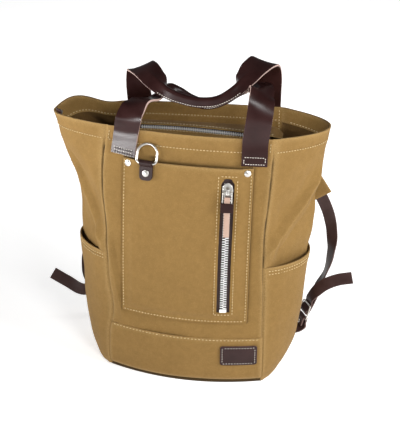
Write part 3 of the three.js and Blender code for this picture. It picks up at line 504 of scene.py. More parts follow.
def threads(tree, place, pitch, direction):
    """Rounded parallel threads with that spacing in metres."""
    inputs = {
        "Vector": place,
        "Scale": WAVE_SCALE / pitch,
        "Distortion": 0.6,
        "Detail": 1.0,
        "Detail Scale": 0.4,
    }
    bands = node(tree, "ShaderNodeTexWave", inputs, wave_type="BANDS", bands_direction=direction)
    return bands.outputs["Fac"]


# Near-black colour of painted shade, laid through the seam attribute in seam gaps, beside the front
# pocket and over the base.
PAINTED_SHADE_COLOR = (0.012, 0.007, 0.003, 1)
LEATHER_GRAIN = 1100


def canvas_finish(name, pale, deep, worn):
    finish, tree, shader = new_finish(name)
    cut = node(tree, "ShaderNodeUVMap", uv_map="cut").outputs["UV"]
    place = own_place(tree)
    warp = threads(tree, cut, THREAD_PITCH, "X")
    weft = threads(tree, cut, THREAD_PITCH * 1.15, "Y")
    weave = combined(tree, warp, weft, "MAXIMUM")
    clouds = noise(tree, place, 16, 6, 0.62)
    streaks = noise(tree, stretched(tree, cut, (60, 900, 1)), 1.0, 3)
    flecks = noise(tree, place, 700, 3)
    patches = noise(tree, place, 130, 3, 0.6)
    mottle = combined(tree, clouds, combined(tree, patches, 0.9), "ADD")
    mottle = combined(tree, mottle, combined(tree, flecks, 0.9), "ADD")
    color = blended(tree, ranged(tree, mottle, 0, 1, 1.1, 1.75), deep, pale)
    color = blended(tree, ranged(tree, streaks, 0, 0.35, 0.45, 0.75), color, deep)
    color = blended(tree, ranged(tree, flecks, 0, 0.3, 0.55, 0.8), color, worn)
    # Rubbed places turn pale; on the gussets' ear folds the same attribute lays a painted highlight on
    # the ridge.
    rubbed = combined(tree, painted(tree, "wear"), ranged(tree, flecks, 0.1, 0.75, 0.3, 0.7))
    color = blended(tree, rubbed, color, worn)
    # Painted shade: the seam attribute darkens the cloth towards near black.
    color = blended(tree, painted(tree, "seam"), color, PAINTED_SHADE_COLOR)
    shade = node(tree, "ShaderNodeMath", {0: weave, 1: 0.22, 2: 0.8}, operation="MULTIPLY_ADD")
    fine = relief(tree, combined(tree, weave, combined(tree, flecks, 0.8), "ADD"), 0.4, 0.0003)
    feed_shader(tree, shader, {
        "Base Color": blended(tree, 1.0, color, shade.outputs[0], "MULTIPLY"),
        "Roughness": ranged(tree, clouds, 0.78, 0.94),
        "Normal": relief(tree, noise(tree, place, 90, 4, 0.6), 0.22, 0.0016, fine),
        "Specular IOR Level": 0.12,
        "Sheen Weight": 0.04,
        "Sheen Roughness": 0.5,
    })
    return finish


def leather_finish(name, dark, rub, gloss):
    finish, tree, shader = new_finish(name)
    place = own_place(tree)
    inputs = {"Vector": place, "Scale": LEATHER_GRAIN}
    pebbles = node(tree, "ShaderNodeTexVoronoi", inputs, feature="SMOOTH_F1")
    clouds = noise(tree, place, 38, 5, 0.6)
    color = blended(tree, ranged(tree, clouds, 0, 1, 0.35, 0.75), dark, rub)
    rubbed = combined(tree, painted(tree, "wear"), ranged(tree, clouds, 0.2, 0.7))
    grain = relief(tree, pebbles.outputs["Distance"], 0.12, 0.0003)
    feed_shader(tree, shader, {
        "Base Color": blended(tree, rubbed, color, rub),
        "Roughness": ranged(tree, clouds, gloss - 0.02, gloss + 0.06),
        "Normal": relief(tree, clouds, 0.08, 0.001, grain),
        "Specular IOR Level": 0.24,
        "Coat Weight": 0.06,
        "Coat Roughness": 0.3,
    })
    return finish


def thread_finish(name, color, deep):
    finish, tree, shader = new_finish(name)
    twist = noise(tree, own_place(tree), 900, 2)
    feed_shader(tree, shader, {
        "Base Color": blended(tree, ranged(tree, twist, 0, 1, 0.35, 0.7), deep, color),
        "Normal": relief(tree, twist, 0.3, 0.0003),
        "Roughness": 0.6,
    })
    return finish


def tape_finish(name, dark, pale):
    finish, tree, shader = new_finish(name)
    ribs = threads(tree, own_place(tree), THREAD_PITCH, "Z")
    feed_shader(tree, shader, {
        "Base Color": blended(tree, ranged(tree, ribs, 0, 0.5), dark, pale),
        "Normal": relief(tree, ribs, 0.4, 0.0003),
        "Roughness": 0.8,
    })
    return finish


def nickel_finish(name, bright, dull, low, high, metal=1.0):
    finish, tree, shader = new_finish(name)
    place = own_place(tree)
    haze = noise(tree, place, 160, 4, 0.6)
    scratches = noise(tree, stretched(tree, place, (300, 2600, 900)), 1.0, 2)
    feed_shader(tree, shader, {
        "Base Color": blended(tree, ranged(tree, haze, 0, 1, 0.35, 0.7), bright, dull),
        "Roughness": ranged(tree, haze, low, high),
        "Normal": relief(tree, scratches, 0.06, 0.0002),
        "Metallic": metal,
    })
    return finish


TAN_CANVAS = canvas_finish(
    "tan_canvas", (0.27, 0.159, 0.051, 1), (0.22, 0.127, 0.038, 1), (0.38, 0.249, 0.102, 1))
# A darker copy of the canvas for the gussets' inner faces: painted shade inside the bag.
PAINTED_SHADE_INNER_CANVAS = canvas_finish(
    "inner_canvas_painted_shade", (0.12, 0.066, 0.021, 1), (0.09, 0.048, 0.015, 1), (0.17, 0.1, 0.04, 1))
STRAP_LEATHER_FINISH = leather_finish(
    "strap_leather", (0.036, 0.016, 0.014, 1), (0.062, 0.033, 0.03, 1), 0.36)
MATT_LEATHER = leather_finish("tab_leather", (0.018, 0.0065, 0.006, 1), (0.03, 0.013, 0.012, 1), 0.5)
DARK_LEATHER = leather_finish("dark_leather", (0.02, 0.006, 0.0055, 1), (0.034, 0.0125, 0.0115, 1), 0.27)
CUT_EDGE = leather_finish("cut_leather_edge", (0.3, 0.19, 0.16, 1), (0.46, 0.33, 0.29, 1), 0.6)
DARK_EDGE = leather_finish("dark_leather_edge", (0.07, 0.035, 0.03, 1), (0.13, 0.075, 0.065, 1), 0.5)
PALE_LEATHER = leather_finish("pale_leather", (0.41, 0.27, 0.21, 1), (0.49, 0.35, 0.28, 1), 0.55)
TAN_THREAD = thread_finish("tan_thread", (0.68, 0.53, 0.29, 1), (0.54, 0.41, 0.21, 1))
WHITE_THREAD = thread_finish("white_thread", (0.85, 0.8, 0.72, 1), (0.7, 0.63, 0.55, 1))
DARK_THREAD = thread_finish("dark_thread", (0.03, 0.018, 0.018, 1), (0.015, 0.009, 0.009, 1))
ZIP_TAPE = tape_finish("zip_tape", (0.022, 0.01, 0.01, 1), (0.045, 0.022, 0.02, 1))
NICKEL = nickel_finish("nickel", (0.72, 0.7, 0.66, 1), (0.58, 0.56, 0.53, 1), 0.3, 0.44)
ZIP_METAL = nickel_finish("zip_metal", (0.96, 0.96, 0.95, 1), (0.86, 0.86, 0.85, 1), 0.28, 0.42, 0.4)


# Making pieces

# How far rubbed edges reach in
CLOTH_WEAR = 5
HEM_WEAR = 3
STRAP_WEAR = 2.5
LABEL_WEAR = 2


def place_piece(obj, finishes, slot, nodes=(), body="bag"):
    """Gives a finished piece its finishes, its body and the nodes that it stands for."""
    for finish in finishes:
        obj.data.materials.append(finish)
    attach(obj, body)
    if nodes:
        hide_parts(*nodes)
    return obj


def linked(name, data):
    obj = bpy.data.objects.new(name, data)
    bpy.context.scene.collection.objects.link(obj)
    return obj


def object_from(bm, name):
    mesh = bpy.data.meshes.new(name)
    bm.to_mesh(mesh)
    bm.free()
    mesh.shade_smooth()
    return linked(name, mesh)


def chamfer(bm, width):
    bmesh.ops.bevel(bm, geom=bm.edges[:], offset=width, offset_type="OFFSET", segments=1, profile=0.5,
                    affect="EDGES", material=-1)


def template_of(bm):
    """A small shape's corners and faces, to be repeated in one joined mesh."""
    bm.verts.ensure_lookup_table()
    corners = np.array([v.co for v in bm.verts])
    faces = [[v.index for v in f.verts] for f in bm.faces]
    bm.free()
    return corners, faces


def joined_mesh(name, template, places):
    """One mesh of many copies of a template: each place has a centre, a size and three axes."""
    shape, sides = template
    corners, faces = [], []
    for centre, size, axes in places:
        base = len(corners) * len(shape)
        corners.append(centre + (shape * size) @ axes)
        faces.extend([k + base for k in side] for side in sides)
    mesh = bpy.data.meshes.new(name)
    mesh.from_pydata((np.concatenate(corners) * MM).tolist(), [], faces)
    return mesh


def placing(origin, turn):
    """The matrix that takes a shape in millimetres to its place in metres."""
    return Matrix.Translation(Vector(origin * MM)) @ Matrix((turn.T * MM).tolist()).to_4x4()


def solid_wall(obj, thick, rim_finish=0, inner_finish=0):
    wall = obj.modifiers.new("thickness", "SOLIDIFY")
    wall.thickness = thick * MM
    wall.offset = -1
    wall.use_even_offset = False
    wall.material_offset_rim = rim_finish
    wall.material_offset = inner_finish


def soft_edges(obj, width, segments=2, angle=35):
    edges = obj.modifiers.new("edges", "BEVEL")
    edges.width = width * MM
    edges.segments = segments
    edges.limit_method = "ANGLE"
    edges.angle_limit = math.radians(angle)
    edges.material = -1
    normals = obj.modifiers.new("normals", "WEIGHTED_NORMAL")
    normals.keep_sharp = False


def bent_grid(name, columns, rows, place, wear_reach=0, drop=None, gather=0.0, marks=None):
    """A flat grid bent by place(u, v), with its cut in metres as UV and rubbed edges as an attribute.

    drop(u, v) says for each face centre whether it is cut out. gather packs the columns at the sides.
    marks(u, v) gives how far each place is rubbed pale, which along the gussets' folds is also a painted
    highlight, and how dark its painted shade is, from 0 to 1.
    """
    bm = bmesh.new()
    bmesh.ops.create_grid(bm, x_segments=columns, y_segments=rows, size=0.5)
    if drop is not None:
        centres = np.array([f.calc_center_median() for f in bm.faces]) + 0.5
        gone = drop(centres[:, 0], centres[:, 1])
        bmesh.ops.delete(bm, geom=[f for f, g in zip(list(bm.faces), gone) if g], context="FACES")
    obj = object_from(bm, name)
    mesh = obj.data
    flat = np.zeros(len(mesh.vertices) * 3)
    mesh.vertices.foreach_get("co", flat)
    u = flat[0::3] + 0.5
    u = u - gather * np.sin(2 * np.pi * u) / (2 * np.pi)
    v = flat[1::3] + 0.5
    shaped = place(u, v) * MM
    mesh.vertices.foreach_set("co", shaped.astype(np.float32).ravel())
    line = np.linspace(0, 1, 41)
    across = place(line, np.full(41, 0.5))
    up = place(np.full(41, 0.5), line)
    width = np.linalg.norm(np.diff(across, axis=0), axis=1).sum()
    length = np.linalg.norm(np.diff(up, axis=0), axis=1).sum()
    corner = np.zeros(len(mesh.loops), np.int32)
    mesh.loops.foreach_get("vertex_index", corner)
    cut = np.stack([u * width, v * length], -1)[corner] * MM
    mesh.uv_layers.new(name="cut").data.foreach_set("uv", cut.astype(np.float32).ravel())
    wear = np.zeros(len(u))
    if wear_reach:
        inside = np.minimum(np.minimum(u, 1 - u) * width, np.minimum(v, 1 - v) * length)
        wear = np.exp(-((inside / wear_reach) ** 2))
    deep = np.zeros(len(u))
    if marks is not None:
        rubbed, deep = marks(u, v)
        wear = np.maximum(wear, rubbed)
    mesh.attributes.new("wear", "FLOAT", "POINT").data.foreach_set("value", wear.astype(np.float32))
    # The seam attribute carries painted shade.
    mesh.attributes.new("seam", "FLOAT", "POINT").data.foreach_set("value", deep.astype(np.float32))
    mesh.update()
    obj["cut_size"] = [width * MM, length * MM]
    return obj


def sew_cloth(obj, thick, edge, nodes=(), finishes=None, inner_finish=0):
    """Gives a bent cloth its thickness, edges, finishes and nodes."""
    solid_wall(obj, thick, 0, inner_finish)
    soft_edges(obj, edge)
    place_piece(obj, finishes or [TAN_CANVAS], "canvas", nodes)
    declare_cloth(obj)


def declare_cloth(obj):
    tuple(obj["cut_size"])


def refined_node(name, node_name, bevel, finish, slot, body="bag", segments=3):
    """A hard piece with the model's own form, merged and with rounded edges."""
    bm = bmesh.new()
    bm.from_mesh(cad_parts[node_name].data)
    bmesh.ops.remove_doubles(bm, verts=bm.verts, dist=2e-6)
    bmesh.ops.dissolve_limit(
        bm, angle_limit=math.radians(2), verts=bm.verts, edges=bm.edges, use_dissolve_boundaries=False)
    obj = object_from(bm, name)
    soft_edges(obj, bevel, segments, 28)
    return place_piece(obj, [finish], slot, [node_name], body)


# Stitches

def stitch_template():
    bm = bmesh.new()
    bmesh.ops.create_cube(bm, size=1.0)
    chamfer(bm, 0.28)
    return template_of(bm)


STITCH = stitch_template()

# Stitch sizes where they differ from the common ones: pitch, length, width, height
PATCH_STITCH = (4.2, 2.0, 0.8, 0.5)
BAND_STITCH = (5.4, 2.7)
BOX_STITCH = (3.6, 2.4, 0.8, 0.7)
GRIP_STITCH = (3.6, 2.3, 1.0, 0.7)
END_BAR = (3.6, 2.5, 2.4, 1.0)
END_SPECK = (3.6, 1.5, 0.9, 0.8)


def stitch_row(surface, a, b, lift, pitch=4.8, length=2.8, width=1.0, height=0.9, start=0.0):
    """Places of the stitches on a sewn line: surface(a, b, lift) gives its points."""
    low = surface(a, b, lift)
    high = surface(a, b, lift + 1)
    steps = np.linalg.norm(np.diff(low, axis=0), axis=1)
    run = np.concatenate([[0], np.cumsum(steps)])
    count = max(1, int((run[-1] - start) // pitch))
    at = start + (np.arange(count) + 0.5) * pitch

    def spots(line, shift=0.0):
        return np.stack([np.interp(at + shift, run, line[:, k]) for k in range(3)], -1)

    centre = spots(low)
    along = unit(spots(low, 0.6) - spots(low, -0.6))
    out = spots(high) - centre
    out = unit(out - along * (out * along).sum(1, keepdims=True))
    side = np.cross(out, along)
    size = np.array([length, width, height])
    axes = np.stack([along, side, out], 1)
    return centre, axes, size


def stitching(name, rows, finish, slot="canvas"):
    """One mesh for all the stitches of some rows."""
    places = [(spot, size, turn) for centre, axes, size in rows for spot, turn in zip(centre, axes)]
    mesh = joined_mesh(name, STITCH, places)
    mesh.shade_smooth()
    return place_piece(linked(name, mesh), [finish], slot)


# Body panels

SEAM_DEPTH = 2.8
SEAM_WIDTH = 1.2
SEAM_SHADE_WIDTH = 1.35
FRONT_LOW = 7.5
BASE_TUCK = 3.5
LOW_LEFT_FOLD = ((-117, 212), (-97, 106))
EDGE_GATHER = 0.86
LOW_FOLD_REACH = 11
LOW_FOLD_HEIGHT = 3.4
LOW_FOLD_FADE = 16
BUNCH_LOW = 325
BUNCH_HEIGHT = 2.6
BUNCH_PITCH = 5.2
HEM_SEAM_DEPTH = 0.9
BACK_SEAM_SHARE = 0.3


def seam_roll(away, height, share=1.0):
    """A wall turns in at a sewn corner, with a soft ridge beside it, and lies flat in the hem."""
    open_share = smooth((HEM_LINE + 2 - height) / 12)
    depth = mix(HEM_SEAM_DEPTH, SEAM_DEPTH, open_share) * share
    return 0.4 * np.exp(-(((away - 4) / 2.6) ** 2)) - depth * np.exp(-((away / SEAM_WIDTH) ** 2))


def seam_shade(side, away, height):
    """Painted shade in a front seam's gap: dark where the gap is open in the middle, faint where it is
    closed at the hem and low on the left.
    """
    share = smooth((HEM_LINE - 4 - height) / 14)
    if side < 0:
        share = share * mix(0.55, 1, smooth((height - 205) / 40))
        share = share * mix(0.5, 1, smooth((height - 85) / 12))
    else:
        share = share * mix(0.75, 1, smooth((height - 130) / 50))
    uneven = 0.78 + 0.3 * np.sin(height / 17 + side) * np.sin(height / 6.3)
    return np.minimum(1, share * uneven) * np.exp(-((away / SEAM_SHADE_WIDTH) ** 2))


def low_left_fold(x, height):
    """A ridge of the front panel from the left seam down to the pocket's corner."""
    (x0, h0), (x1, h1) = LOW_LEFT_FOLD
    length = math.hypot(x1 - x0, h1 - h0)
    along = ((x - x0) * (x1 - x0) + (height - h0) * (h1 - h0)) / length
    beside = ((x - x0) * (h1 - h0) - (height - h0) * (x1 - x0)) / length
    past = np.maximum(0, np.maximum(-along, along - length))
    roof = np.maximum(0, 1 - np.sqrt(beside**2 + 0.6) / LOW_FOLD_REACH)
    return LOW_FOLD_HEIGHT * roof * np.exp(-((past / LOW_FOLD_FADE) ** 2))


def front_place(u, v):
    height = mix(FRONT_LOW, RIM_HEIGHT, v)
    s = section(height)
    return s, mix(s["seam_left"], s["seam_right"], u), height


def front_wall(u, v):
    s, x, height = front_place(u, v)
    away = np.minimum(u, 1 - u) * (s["seam_right"] - s["seam_left"])
    calm = smooth((RIM_HEIGHT - height) / 40)
    lift = seam_roll(away, height) + ripple(x, height, 11, 0.5) * calm + low_left_fold(x, height)
    lift = lift + pucker(height - HEM_LINE, x, 0.3)
    lift = lift - BASE_TUCK * np.exp(-(((height - FRONT_LOW) / 4) ** 2))
    return on_front(x, height, lift)


def front_painted_shade(u, v):
    s, x, height = front_place(u, v)
    width = s["seam_right"] - s["seam_left"]
    deep = np.maximum(seam_shade(-1, u * width, height), seam_shade(1, (1 - u) * width, height))
    # Painted shadow beside the front pocket's sides and under its bottom edge, with the painted seam
    # shade.
    beside = np.maximum(np.abs(x) - POCKET_HALF, POCKET_LOW - height)
    under = 0.5 * np.exp(-((np.maximum(0, beside) / 1.7) ** 2)) * (height < POCKET_TOP)
    return np.zeros_like(u), np.maximum(deep, under)


def back_wall(u, v):
    height = mix(WALL_LOW, RIM_HEIGHT, v)
    half = section(height)["back_half"]
    x = mix(half, -half, u)
    away = np.minimum(u, 1 - u) * 2 * half
    calm = smooth((RIM_HEIGHT - height) / 40)
    lift = seam_roll(away, height, BACK_SEAM_SHARE) + ripple(x, height, 12, 0.6) * calm
    return on_back(x, height, lift + pucker(height - HEM_LINE, x, 0.3))


def from_front(side, u):
    """A gusset's place counted from its front seam. The left gusset's grid starts at the back."""
    return u if side > 0 else 1 - u


def gusset_wall(side):
    def place(u, v):
        height = mix(WALL_LOW, RIM_HEIGHT, v)
        across = from_front(side, u)
        away = np.minimum(across, 1 - across) * GUSSET_RUN
        calm = smooth((HEM_LINE - height) / 30) * smooth(away / 25)
        share = np.where(across < 0.5, 1, BACK_SEAM_SHARE)
        lift = seam_roll(away, height, share) + ripple(across * GUSSET_RUN, height, 13 + side, 1.5) * calm
        lift = lift + pucker(height - HEM_LINE, across * GUSSET_RUN, 0.3)
        if side < 0:
            bunch = smooth((height - BUNCH_LOW) / 20) * smooth((HEM_LINE - 3 - height) / 14)
            bunch = bunch * smooth((across - 0.5) / 0.15) * smooth(away / 25)
            lift = lift + BUNCH_HEIGHT * np.sin(across * GUSSET_RUN / BUNCH_PITCH + height / 9) * bunch
        return on_side(side, across, height, lift)
    return place


def gusset_wear_and_painted_light(side):
    def marks(u, v):
        height = mix(WALL_LOW, RIM_HEIGHT, v)
        across = from_front(side, u)
        rubbed = np.zeros_like(u)
        for fold in EAR_FOLDS:
            if fold[0] == side:
                away, past = fold_place(fold, across, height)
                # Rubbed pale along the ear fold, which also stands as a painted highlight on the fold's
                # ridge.
                rubbed = np.exp(-((away / 1.6) ** 2) - (past / 10) ** 2) * 0.8
        # The seam's gap gets painted shade.
        return rubbed, seam_shade(side, across * GUSSET_RUN, height)
    return marks


def side_pocket_face(side, u, height, lift):
    share = np.sin(np.pi * u) ** 0.8
    low_round = section(height)["round"]
    roundness = mix(low_round, 1, np.minimum(1, height / 110))
    slack = GAP + 1 + POCKET_CANVAS + SIDE_POCKET_SLACK * share * height / SIDE_POCKET_TOP
    away = np.minimum(u, 1 - u) * SIDE_POCKET_RUN
    slack = mix(0.9, slack, smooth(away / 22))
    return on_side(side, u, height, slack + lift, roundness)


def side_pocket_wall(side):
    def place(u, v):
        across = from_front(side, u)
        height = mix(WALL_LOW, SIDE_POCKET_TOP, v)
        along = across * SIDE_POCKET_RUN
        away = np.minimum(across, 1 - across) * SIDE_POCKET_RUN
        calm = smooth(away / 20) * smooth((SIDE_POCKET_TOP - height) / 20)
        lift = seam_roll(away, height) * 0.8 + ripple(along, height, 17 + side, 0.7) * calm
        lift = lift + pucker(height - (SIDE_POCKET_TOP - 8), along, 0.25)
        return side_pocket_face(side, across, height, lift)
    return place


def band_wall(u, v):
    height = mix(BAND_LOW, BAND_TOP, v)
    s = section(height)
    x = mix(s["seam_left"], s["seam_right"], u)
    away = np.minimum(u, 1 - u) * (s["seam_right"] - s["seam_left"])
    lift = GAP + POCKET_CANVAS + seam_roll(away, height) + ripple(x, height, 19, 0.35)
    lift = lift - BASE_TUCK * np.exp(-(((height - BAND_LOW) / 3.2) ** 2))
    lift = lift + pucker(height - (BAND_TOP - 4), x, 0.35, 8, 13)
    return on_front(x, height, lift)


def make_body():
    panels = [
        ("front_panel", "front_panel_cloth", 130, 190, front_wall, front_painted_shade, TAN_CANVAS),
        ("back_panel", "back_panel_cloth", 90, 130, back_wall, None, TAN_CANVAS),
    ]
    for side, name in SIDE_NAMES.items():
        # The gussets' inner faces take the darker canvas copy as painted shade; the other panels keep the
        # tan canvas inside.
        walls = (gusset_wall(side), gusset_wear_and_painted_light(side), PAINTED_SHADE_INNER_CANVAS)
        panels.append((f"side_gusset_{name}", f"side_gusset_cloth_{name}", 140, 190, *walls))
    for node_name, name, columns, rows, place, marks, inner in panels:
        cloth = bent_grid(name, columns, rows, place, CLOTH_WEAR, gather=EDGE_GATHER, marks=marks)
        sew_cloth(cloth, CANVAS, 0.7, [node_name], finishes=[TAN_CANVAS, inner], inner_finish=1)
    for side, name in SIDE_NAMES.items():
        wall = side_pocket_wall(side)
        pocket = bent_grid(f"side_pocket_cloth_{name}", 100, 90, wall, CLOTH_WEAR, gather=EDGE_GATHER)
        sew_cloth(pocket, POCKET_CANVAS, 0.6, [f"side_pocket_{name}"])
    band = bent_grid("front_base_band_cloth", 110, 44, band_wall, CLOTH_WEAR, gather=EDGE_GATHER)
    sew_cloth(band, POCKET_CANVAS, 0.6, ["front_base_band"])
    make_base()


def make_base():
    """The bottom panel, set back a little under the walls, with its edge turned up. It is painted dark
    all over as painted shade, so the turned-up edge shows as a dark strip under the walls.
    """
    steps = 24
    line = np.linspace(0, 1, steps)
    level = np.zeros(steps)
    s = section(level)
    edge = np.concatenate([
        on_front(mix(s["seam_left"], s["seam_right"], line), level, -BASE_INSET)[:, :2],
        on_side(1, line, level, -BASE_INSET)[1:-1, :2],
        on_back(mix(s["back_half"], -s["back_half"], line), level, -BASE_INSET)[:, :2],
        on_side(-1, 1 - line, level, -BASE_INSET)[1:-1, :2],
    ])
    bm = bmesh.new()
    bmesh.ops.create_circle(bm, cap_ends=True, segments=len(edge), radius=1)
    order = sorted(bm.verts, key=lambda v: math.atan2(v.co.y, v.co.x))
    first = int(np.argmin(np.arctan2(edge[:, 1], edge[:, 0])))
    for vert, spot in zip(order, np.roll(edge, -first, axis=0)):
        vert.co = (spot[0] * MM, spot[1] * MM, BASE_LOW * MM)
    border = [e for e in bm.edges if len(e.link_faces) == 1]
    turned = bmesh.ops.extrude_edge_only(bm, edges=border)["geom"]
    rim = [g for g in turned if isinstance(g, bmesh.types.BMVert)]
    bmesh.ops.translate(bm, verts=rim, vec=(0, 0, BASE_EDGE * MM))
    bmesh.ops.recalc_face_normals(bm, faces=bm.faces)
    base = object_from(bm, "base_cloth")
    # Painted shade over the whole base, through the seam attribute.
    base_painted_shade = base.data.attributes.new("seam", "FLOAT", "POINT").data
    base_painted_shade.foreach_set("value", np.full(len(base.data.vertices), 0.8, np.float32))
    solid_wall(base, BASE_THICK)
    base.data.uv_layers.new(name="cut")
    place_piece(base, [TAN_CANVAS], "canvas", ["base_panel"])


def hem_height(v):
    return mix(HEM_LINE - HEM_LAP, RIM_HEIGHT - HEM_SET, v)


def make_hems():
    """The rim is turned in and sewn: strips of cloth lie inside it."""
    inside = -CANVAS + 0.2

    def front_hem(u, v):
        height = hem_height(v)
        s = section(height)
        x = mix(s["seam_left"], s["seam_right"], u)
        return on_front(x, height, inside + pucker(height - HEM_LINE, x, 0.3))

    def back_hem(u, v):
        height = hem_height(v)
        half = section(height)["back_half"] + 1
        x = mix(half, -half, u)
        return on_back(x, height, inside + pucker(height - HEM_LINE, x, 0.3))

    def gusset_hem(side):
        return lambda u, v: on_side(side, from_front(side, u), hem_height(v), inside)

    strips = {"front": front_hem, "back": back_hem, "left": gusset_hem(-1), "right": gusset_hem(1)}
    for name, place in strips.items():
        hem = bent_grid(f"rim_hem_{name}", 100, 8, place, HEM_WEAR)
        sew_cloth(hem, HEM_FOLD, 0.5)


def stations(marks, counts):
    """Places from mark to mark, with that many steps between each two."""
    runs = [np.linspace(a, b, n, endpoint=False) for a, b, n in zip(marks, marks[1:], counts)]
    return np.append(np.concatenate(runs), marks[-1])


def make_front_pocket():
    wall = POCKET_LIP - 0.6
    slot_sides = (ZIP_X - ZIP_SLOT_HALF, ZIP_X + ZIP_SLOT_HALF)
    slot_heights = (ZIP_SLOT_LOW, ZIP_SLOT_TOP - ZIP_SLOT_HALF, ZIP_SLOT_TOP)
    pocket_sides = (-POCKET_HALF - wall, -POCKET_HALF, *slot_sides, POCKET_HALF, POCKET_HALF + wall)
    across = stations(pocket_sides, (3, 75, 12, 15, 3))
    up = stations((POCKET_LOW - wall, POCKET_LOW, *slot_heights, POCKET_TOP), (3, 11, 95, 8, 9))

    def spots(u, v):
        a = np.interp(u * (len(across) - 1), np.arange(len(across)), across)
        b = np.interp(v * (len(up) - 1), np.arange(len(up)), up)
        return a, b

    def arched(a, b):
        """The grid drawn in round the slot's top, so that the slot ends in an arch."""
        beside = a - ZIP_X
        climb = np.clip((b - (ZIP_SLOT_TOP - ZIP_SLOT_HALF)) / ZIP_SLOT_HALF, 0, 0.8)
        above = smooth((b - ZIP_SLOT_TOP) / 9)
        pinch = (1 - np.sqrt(1 - climb**2)) * (1 - above)
        reach = smooth(1 - (np.abs(beside) - ZIP_SLOT_HALF) / 14)
        x = a - np.sign(beside) * np.minimum(np.abs(beside), ZIP_SLOT_HALF) * pinch * reach
        dome = np.maximum(0, 1 - (beside / ZIP_SLOT_HALF) ** 2)
        return x, b + 1.2 * dome * (b >= ZIP_SLOT_TOP) * (1 - above)

    def place(u, v):
        a, b = spots(u, v)
        x, height = arched(np.clip(a, -POCKET_HALF, POCKET_HALF), np.maximum(b, POCKET_LOW))
        fall = np.maximum(np.abs(a) - POCKET_HALF, POCKET_LOW - b)
        inside = np.minimum(POCKET_HALF - np.abs(x), height - POCKET_LOW)
        lift = soft_pocket_lift(x, height) - np.maximum(0, fall)
        lift = lift + ripple(x, height, 23, 0.45) * smooth(inside / 25)
        along = np.where(POCKET_HALF - np.abs(x) < height - POCKET_LOW, height, x)
        lift = lift + pucker(inside - 4, along, 0.3, 6)
        slot = np.maximum(np.abs(x - ZIP_X) - ZIP_SLOT_HALF, ZIP_SLOT_LOW - height)
        lift = lift + 0.5 * np.exp(-((np.maximum(slot, 0) / 4) ** 2)) * (height < ZIP_SLOT_TOP + 4)
        return on_front(x, height, lift)

    def slot(u, v):
        a, b = spots(u, v)
        return (np.abs(a - ZIP_X) < ZIP_SLOT_HALF) & (b > ZIP_SLOT_LOW) & (b < ZIP_SLOT_TOP)

    pocket = bent_grid("front_pocket_cloth", len(across) - 1, len(up) - 1, place, CLOTH_WEAR, slot)
    sew_cloth(pocket, POCKET_CANVAS, 0.7, ["front_pocket"])


def make_closing_panel():
    """Canvas flanges inside the rim and the zip between them."""
    def front_flange(u, v):
        x = mix(-FLANGE_HALF, FLANGE_HALF, u)
        wall = front_face(x, np.full_like(x, FLANGE_FRONT_Z)) + CANVAS + GAP * 2
        z = mix(FLANGE_FRONT_Z, zip_line(x), v) + FLANGE_LIFT + ripple(x, v * 45, 29, 0.4)
        return points(x, mix(wall, TOP_ZIP_Y - 9, v), z)

    def back_flange(u, v):
        x = mix(-FLANGE_HALF, FLANGE_HALF + 8, u) * mix(1, FLANGE_BACK_HALF / FLANGE_HALF, v)
        wall = back_face(x, np.full_like(x, FLANGE_BACK_Z)) - CANVAS - GAP
        end = 12 * smooth((x - FLANGE_HALF + 10) / 18) * smooth(v / 0.3)
        sag = -2.5 * np.sin(np.pi * v) + ripple(x, v * 70, 31, 0.6) * np.sin(np.pi * v)
        z = mix(zip_line(x), FLANGE_BACK_Z, v) + FLANGE_LIFT + sag - end
        return points(x, mix(TOP_ZIP_Y + 9, wall, v), z)

    for name, place, node_name in (
        ("closing_panel_front", front_flange, "top_zip_flange_front"),
        ("closing_panel_back", back_flange, "top_zip_flange_back"),
    ):
        cloth = bent_grid(name, 90, 20, place, HEM_WEAR)
        sew_cloth(cloth, FLANGE_CANVAS, 0.5, [node_name])

    def tape(u, v):
        x = mix(*TOP_TAPE_ENDS, u)
        y = TOP_ZIP_Y + mix(-ZIP_TAPE_HALF, ZIP_TAPE_HALF, v)
        return points(x, y, zip_line(x) - GAP - FLANGE_CANVAS)

    zip_ribbon("top_zip_ribbon", 60, 6, tape, "top_zip_tape")


# Zip chains

def zip_ribbon(name, columns, rows, place, node_name):
    ribbon = bent_grid(name, columns, rows, place)
    solid_wall(ribbon, ZIP_TAPE_THICK)
    soft_edges(ribbon, 0.25)
    place_piece(ribbon, [ZIP_TAPE], "zip_tape", [node_name])


def tooth_template():
    """One zip tooth, its foot at the origin and its head along +X."""
    bm = bmesh.new()
    bmesh.ops.create_cube(bm, size=1.0)
    head = [f for f in bm.faces if f.normal.x > 0.9]
    grown = bmesh.ops.extrude_face_region(bm, geom=head)["geom"]
    tips = [g for g in grown if isinstance(g, bmesh.types.BMVert)]
    bmesh.ops.translate(bm, verts=tips, vec=(0.45, 0, 0))
    bmesh.ops.scale(bm, verts=tips, vec=(1, 1.15, 0.8))
    bmesh.ops.delete(bm, geom=head, context="FACES")
    chamfer(bm, 0.1)
    corners, faces = template_of(bm)
    corners[:, 0] += 0.5
    return corners, faces


def zip_chain(name, path, half, node_name):
    """Teeth of both sides, taking turns along path(t): centre, along, across and out."""
    size = np.array([half * TOOTH_SHARE, TOOTH_ALONG, TOOTH_DEPTH])
    places = []
    for i in range(TEETH_COUNT):
        centre, along, across, out = path((i + 0.5) / TEETH_COUNT)
        way = 1 if i % 2 else -1
        places.append((centre - across * way * half, size, np.stack([across * way, along * way, out])))
    chain = linked(name, joined_mesh(name, tooth_template(), places))
    return place_piece(chain, [ZIP_METAL], "silver_metal", [node_name])


